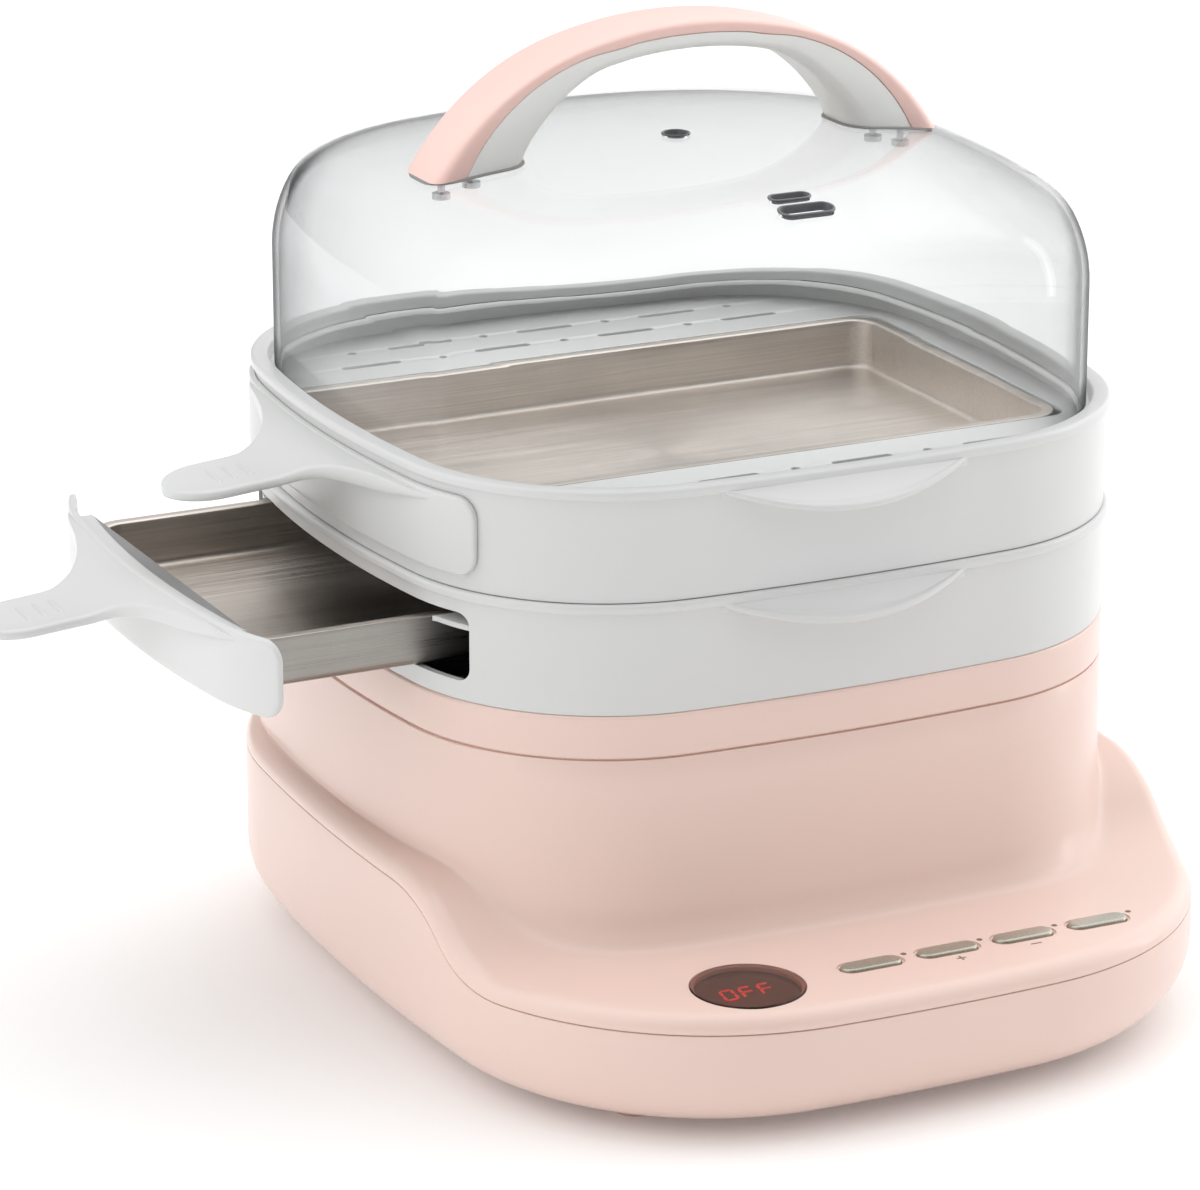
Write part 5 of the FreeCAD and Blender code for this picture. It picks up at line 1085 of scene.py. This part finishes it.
    # the long end face is divided so that it follows the panel's curve
    bm = bmesh.new()
    bm.from_mesh(tng.data)
    for f in [f for f in bm.faces if len(f.verts) == 2 * m and max(v.co.y for v in f.verts) > 0.05]:
        vs = sorted(f.verts, key=lambda v: v.co.y)
        bm.faces.remove(f)
        pairs = [sorted(vs[2 * j:2 * j + 2], key=lambda v: v.co.z) for j in range(m)]
        for (b0, t0), (b1, t1) in zip(pairs[:-1], pairs[1:]):
            bm.faces.new((b0, b1, t1, t0))
    bmesh.ops.recalc_face_normals(bm, faces=bm.faces[:])
    bm.to_mesh(tng.data)
    bm.free()
    for k in range(3):
        xc = -188.5 + 6.2 * k
        ribs = []
        for i in range(13):
            t = -1 + 2 * i / 12
            y = 8.2 * t
            hgt = 0.75 * math.sqrt(max(0.0, 1 - t ** 4))
            top = hi + 5.6 + xc * math.sin(rad(5.0)) - 0.7 * (1 - abs(y / 18.0) ** 2.2)
            ribs.append([(xc + 0.9 * math.cos(rad(a)) - shift + 0.02 * y, y, top - 0.35 + (hgt + 0.35) * max(0, math.sin(rad(a))) * 1.0 - (0.3 if math.sin(rad(a)) <= 0 else 0))
                         for a in range(0, 360, 30)])
        rings_mesh("%s_tongue_rib_%d" % (prefix, k + 1), ribs, "white", body, close_k=False, cap0=True, cap1=True, slot="white_shell", sharp=60)


tray("lower", TIER_Z, 75.0, "lower_tray")
tray("upper", TIER_Z + PITCH, 0.0, "upper_tray")

# ---------------------------------------------------------------- lid
LID_Z, LID_TOP, LID_R, CROWN, BLEND = 220.3, 317.2, 52.0, 700.0, 11.0


def smin(a, b, k):
    h = max(k - abs(a - b), 0.0) / k
    return min(a, b) - h * h * k * 0.25


def shoulder():
    """Inset and rise of the dome's shoulder, whose curvature fades out towards the crown."""
    n = 400
    k = [min(1.0, (1.0 - (i + 0.5) / n) / 0.3) for i in range(n)]
    tot = sum(k)
    x = z = 0.0
    a = math.pi / 2
    pts = [(0.0, 0.0)]
    for q in k:
        a -= q / tot * math.pi / 4
        x, z = x + math.cos(a), z + math.sin(a)
        a -= q / tot * math.pi / 4
        pts.append((x, z))
    return np.array(pts) / pts[-1][1]


SHO = shoulder()
OVER = 1.6


def dome_rings(off, grow):
    """Dome surface from the rim up to the crown; ring points line up between skins."""
    rings = []
    zt = LID_TOP + OVER + grow
    R = LID_R + grow
    zs = zt - R
    for f in (0.0, 0.02, 0.25, 0.5, 0.75, 0.97):
        rings.append([(x, y, LID_Z + (zs - LID_Z) * f) for x, y in plan(TIER, off)])
    K = 26
    for i in range(0, K + 1):
        u = 400.0 * i / K
        o = off - R * float(np.interp(u, range(401), SHO[:, 0]))
        z = zs + R * float(np.interp(u, range(401), SHO[:, 1]))
        row = []
        for x, y in plan(TIER, o):
            zc = LID_TOP + grow - (x * x + y * y) / (2 * CROWN)
            row.append((x, y, smin(z, zc, BLEND)))
        rings.append(row)
    last = plan(TIER, off - R * float(SHO[-1, 0]))
    for s in (0.88, 0.74, 0.6, 0.46, 0.32, 0.2, 0.1):
        rings.append([(x * s, y * s, smin(zt, LID_TOP + grow - (x * x + y * y) * s * s / (2 * CROWN), BLEND)) for x, y in last])
    return rings


def dome_z(x, y, grow=0.0):
    """Height of the dome's outer skin away from its corners."""
    o = max(math.hypot(abs(x) - (145.0 - 520.4), y) - 520.4, math.hypot(x, abs(y) - (143.3 - 905.5)) - 905.5)
    inset = -7.5 - o
    zt = LID_TOP + OVER + grow
    R = LID_R
    z = zt - R + R * float(np.interp(max(inset, 0) / R, SHO[:, 0], SHO[:, 1]))
    return smin(z, LID_TOP + grow - (x * x + y * y) / (2 * CROWN), BLEND)


ro, ri = dome_rings(-7.5, 0.0), dome_rings(-10.0, -2.5)
top_o = [(0, 0, smin(LID_TOP + OVER, LID_TOP, BLEND))]
rim_mid = [[(x, y, LID_Z + 0.0) for x, y in plan(TIER, -8.3)], [(x, y, LID_Z) for x, y in plan(TIER, -9.2)]]
ro[0] = [(x, y, LID_Z + 0.7) for x, y, z in ro[0]]
ri[0] = [(x, y, LID_Z + 0.7) for x, y, z in ri[0]]
dome = rings_mesh("dome_shell", ro[::-1] + rim_mid + ri, "dome", "lid", close_k=False, cap0=True, cap1=True, node="lid_dome",
                  slot="clear_dome", sharp=60)
cut = [prism(disc_pts(0, 0, 5.0, 40), 296, 330), prism(pill_pts(0.0, -90.5, 16.0, 5.6, 14), 280, 330),
       prism(pill_pts(0.5, -102.5, 21.5, 7.6, 14), 270, 330)]
for x in (-96.0, -84.0, 84.0, 96.0):
    cut.append(prism(disc_pts(x, 0, 2.2, 24), 270, 330))
apply_bool(dome, cut, sharp=40)


def vent_rim(name, shape):
    """Thin raised lining round one vent, following the dome."""
    rings = []
    for grow, dz in ((-0.02, -2.6), (-0.02, 0.25), (0.12, 0.48), (0.45, 0.55), (0.8, 0.45), (0.95, 0.2), (0.95, -0.25), (0.35, -0.3), (0.35, -2.6)):
        rings.append([(x, y, dome_z(x, y) + dz) for x, y in shape(grow)])
    return rings_mesh(name, rings, "rim_grey", "lid", close_k=True, slot="clear_dome", sharp=60)


vent_rim("vent_rim_round", lambda g: disc_pts(0, 0, 4.6 + g, 40))
vent_rim("vent_rim_small", lambda g: pill_pts(0.0, -90.5, 15.2 + 2 * g, 4.8 + 2 * g, 14))
vent_rim("vent_rim_large", lambda g: pill_pts(0.5, -102.5, 20.7 + 2 * g, 6.8 + 2 * g, 14))


# ---------------------------------------------------------------- handle
def arch_outer(t, drop):
    """Point and outward normal of the outer line at t from -1 to 1 by angle."""
    sn = 45.0 / 165.0
    a0 = math.asin(sn)
    zc0 = 360.5 - 165.0
    c1x, c1z = 45.0 - sn * 105.0, zc0 + math.cos(a0) * (165.0 - 105.0)
    end = math.radians(97.0)
    a = abs(t) * end
    s = 1 if t >= 0 else -1
    if a <= a0:
        n = np.array([math.sin(a), math.cos(a)])
        p = np.array([0, zc0]) + n * (165.0 - drop)
    else:
        n = np.array([math.sin(a), math.cos(a)])
        p = np.array([c1x, c1z]) + n * (105.0 - drop)
    return np.array([p[0] * s, p[1]]), np.array([n[0] * s, n[1]])


def arch_inner(t):
    sn = 25.0 / 150.0
    a0 = math.asin(sn)
    zc0 = 350.2 - 150.0
    c1x, c1z = 25.0 - sn * 55.0, zc0 + math.cos(a0) * (150.0 - 55.0)
    end = math.radians(90.0)
    a = abs(t) * end
    s = 1 if t >= 0 else -1
    n = np.array([math.sin(a), math.cos(a)])
    if a <= a0:
        p = np.array([0, zc0]) + n * 150.0
    else:
        p = np.array([c1x, c1z]) + n * 55.0
    return np.array([p[0] * s, p[1]])


def meet(fn):
    """Parameter at which a leg line reaches the pad on the dome."""
    lo, hi = 0.3, 1.0
    for _ in range(40):
        m = (lo + hi) / 2
        p = fn(m)
        if p[1] > dome_z(p[0], 0.0) + 0.8:
            lo = m
        else:
            hi = m
    return lo


T_OUT = meet(lambda t: arch_outer(t, 0.0)[0])
T_IN = meet(arch_inner)
X_OUT, X_IN = arch_outer(T_OUT, 0.0)[0][0], arch_inner(T_IN)[0]


def arch_section(o, i, half, r_o, r_i, n=6, bow=0.0):
    """Rounded section spanning from outer point o to inner point i."""
    L = np.linalg.norm(i - o)
    d = (i - o) / max(L, 1e-6)
    poly = rounded([(0, -half, r_o), (0, half, r_o), (L, half, r_i), (L, -half, r_i)], n)
    return [(o[0] + d[0] * (a - bow * (1 - (y / half) ** 2) * (1 - a / L)), y, o[1] + d[1] * (a - bow * (1 - (y / half) ** 2) * (1 - a / L)))
            for a, y in poly]


def handle_part(name, kind, mat, node, slot, sharp=50):
    rings = []
    n = 72
    for k in range(n + 1):
        t = -1 + 2 * k / n
        t = math.copysign(abs(t) ** 0.9, t)
        po, no = arch_outer(t * T_OUT, 0.0)
        pi_ = arch_inner(t * T_IN)
        d = (pi_ - po) / np.linalg.norm(pi_ - po)
        w = 4.4 + 8.0 * abs(t) ** 2.6
        if kind == "cover":
            r = arch_section(po, po + d * w, 15.0, 3.4 + 6.4 * smoothstep((abs(t) - 0.62) / 0.38), 0.3, bow=0.35)
        else:
            r = arch_section(po + d * (w + 0.2), pi_, 14.8, 0.4, 5.5 + 4.0 * smoothstep((abs(t) - 0.6) / 0.4))
        rings.append([(x, y, max(z, dome_z(x, y) + 0.75)) for x, y, z in r])
    return rings_mesh(name, rings, mat, "lid", close_k=False, cap0=True, cap1=True, node=node, slot=slot, sharp=sharp)


handle_part("handle_band", "cover", "pink_handle_painted_light", "handle_cover", "pink_shell")
handle_part("handle_grip_core", "base", "white_painted_light", "handle_base", "white_shell")

for side, sg in (("left", -1), ("right", 1)):
    rings = []
    for grow, lift in ((0.95, 0.0), (0.95, 0.45), (0.75, 0.7), (0.4, 0.82), (-1.2, 0.82), (-1.2, 0.0)):
        pts = rounded([(X_OUT + grow, -15 - grow, 10.4 + grow), (X_OUT + grow, 15 + grow, 10.4 + grow), (X_IN - grow, 15 + grow, 9.5 + grow), (X_IN - grow, -15 - grow, 9.5 + grow)], 8)
        pts = [q for i, p in enumerate(pts) for q in [(p[0] + (pts[(i + 1) % len(pts)][0] - p[0]) * f, p[1] + (pts[(i + 1) % len(pts)][1] - p[1]) * f)
               for f in ([0.0, 0.25, 0.5, 0.75] if math.hypot(pts[(i + 1) % len(pts)][0] - p[0], pts[(i + 1) % len(pts)][1] - p[1]) > 6 else [0.0])]]
        rings.append([(sg * x, y, dome_z(x, y) + lift + 0.01) for x, y in pts])
    rings_mesh("handle_pad_" + side, rings, "rubber", "lid", close_k=True, node="handle_gaskets", slot="seal_rubber", sharp=60)

# ---------------------------------------------------------------- materials of the remaining CAD nodes
NODE_MAT = {
    "feet": "foot", "foot_screws": "screw", "housing_screws": "screw", "basin_seal": "rubber", "water_basin": "basin",
    "heater_plate": "cast", "heater_tube": "screw", "heater_clips": "screw", "thermostat": "inner", "thermal_fuse": "inner",
    "ntc_sensor": "screw", "heat_shield": "shield", "power_board": "board", "transformer": "dark", "relay": "dark",
    "capacitors": "dark", "terminal_block": "inner", "board_screws": "screw", "control_board": "board", "display_module": "dark",
    "tact_switches": "dark", "indicator_lights": "print", "control_cable": "inner", "cord_gland": "gland",
    "heater_leads": "leads", "lower_tray_screws": "screw", "upper_tray_screws": "screw", "handle_screws": "screw"}
for nm, mt in NODE_MAT.items():
    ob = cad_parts[nm]
    ob.data.materials.clear()
    ob.data.materials.append(M[mt])

# ---------------------------------------------------------------- floor and light


def floor_mat():
    m, nt, bs = new_mat("floor_pale")
    v = coords(nt)
    n1 = noise(nt, v, 3.0, 3.0, 0.5)
    nt.links.new(ramp(nt, n1, [(0.3, (0.93, 0.93, 0.93)), (0.7, (0.95, 0.95, 0.95))]), bs.inputs["Base Color"])
    bs.inputs["Roughness"].default_value = 0.6
    bs.inputs["Specular IOR Level"].default_value = 0.2
    bs.inputs["Emission Color"].default_value = (1, 1, 1, 1)
    bs.inputs["Emission Strength"].default_value = 0.08
    return m


me = bpy.data.meshes.new("floor")
me.from_pydata([(-9, -9, 0), (9, -9, 0), (9, 9, 0), (-9, 9, 0)], [], [(0, 1, 2, 3)])
me.materials.append(floor_mat())
fl = bpy.data.objects.new("floor", me)
scene.collection.objects.link(fl)

world = bpy.data.worlds.new("world")
scene.world = world
world.use_nodes = True
wn = world.node_tree
wn.nodes.clear()
w_out = wn.nodes.new("ShaderNodeOutputWorld")
w_bg = wn.nodes.new("ShaderNodeBackground")
w_tc = wn.nodes.new("ShaderNodeTexCoord")
w_n = wn.nodes.new("ShaderNodeVectorMath")
w_n.operation = "NORMALIZE"
wn.links.new(w_tc.outputs["Generated"], w_n.inputs[0])


def w_math(op, a, b):
    n = wn.nodes.new("ShaderNodeMath")
    n.operation = op
    for i, v in enumerate((a, b)):
        if isinstance(v, (int, float)):
            n.inputs[i].default_value = v
        else:
            wn.links.new(v, n.inputs[i])
    return n.outputs[0]


def lobe(direction, power, amount):
    """Soft sky patch round one direction."""
    d = wn.nodes.new("ShaderNodeVectorMath")
    d.operation = "DOT_PRODUCT"
    wn.links.new(w_n.outputs[0], d.inputs[0])
    d.inputs[1].default_value = Vector(direction).normalized()
    return w_math("MULTIPLY", w_math("POWER", w_math("MAXIMUM", d.outputs["Value"], 0.0), power), amount)


sky = w_math("ADD", lobe((-0.1, 0.0, 1.0), 4, 1.34), 0.04)
sky = w_math("ADD", sky, lobe((1.0, 0.14, 0.38), 2, 1.84))
sky = w_math("ADD", sky, lobe((-1.0, 0.28, 0.42), 2, 1.36))
wn.links.new(sky, w_bg.inputs["Strength"])
w_bg.inputs["Color"].default_value = (1.0, 1.0, 1.0, 1)
wn.links.new(w_bg.outputs[0], w_out.inputs[0])


def area(name, loc, target, size, power, size_y=None, roll=0.0):
    ld = bpy.data.lights.new(name, "AREA")
    ld.energy = power
    ld.size = size
    if size_y:
        ld.shape = "RECTANGLE"
        ld.size_y = size_y
    ob = bpy.data.objects.new(name, ld)
    ob.location = loc
    ob.rotation_euler = (Vector(target) - Vector(loc)).to_track_quat("-Z", "Y").to_euler()
    ob.rotation_euler.rotate_axis("Z", rad(roll))
    scene.collection.objects.link(ob)
    return ob


area("strip_right", (1.9, -0.5, 0.62), (0.05, 0, 0.24), 0.2, 2.6, 1.5)
scene.view_settings.view_transform = "Standard"
scene.view_settings.look = "None"
scene.view_settings.exposure = 0.0
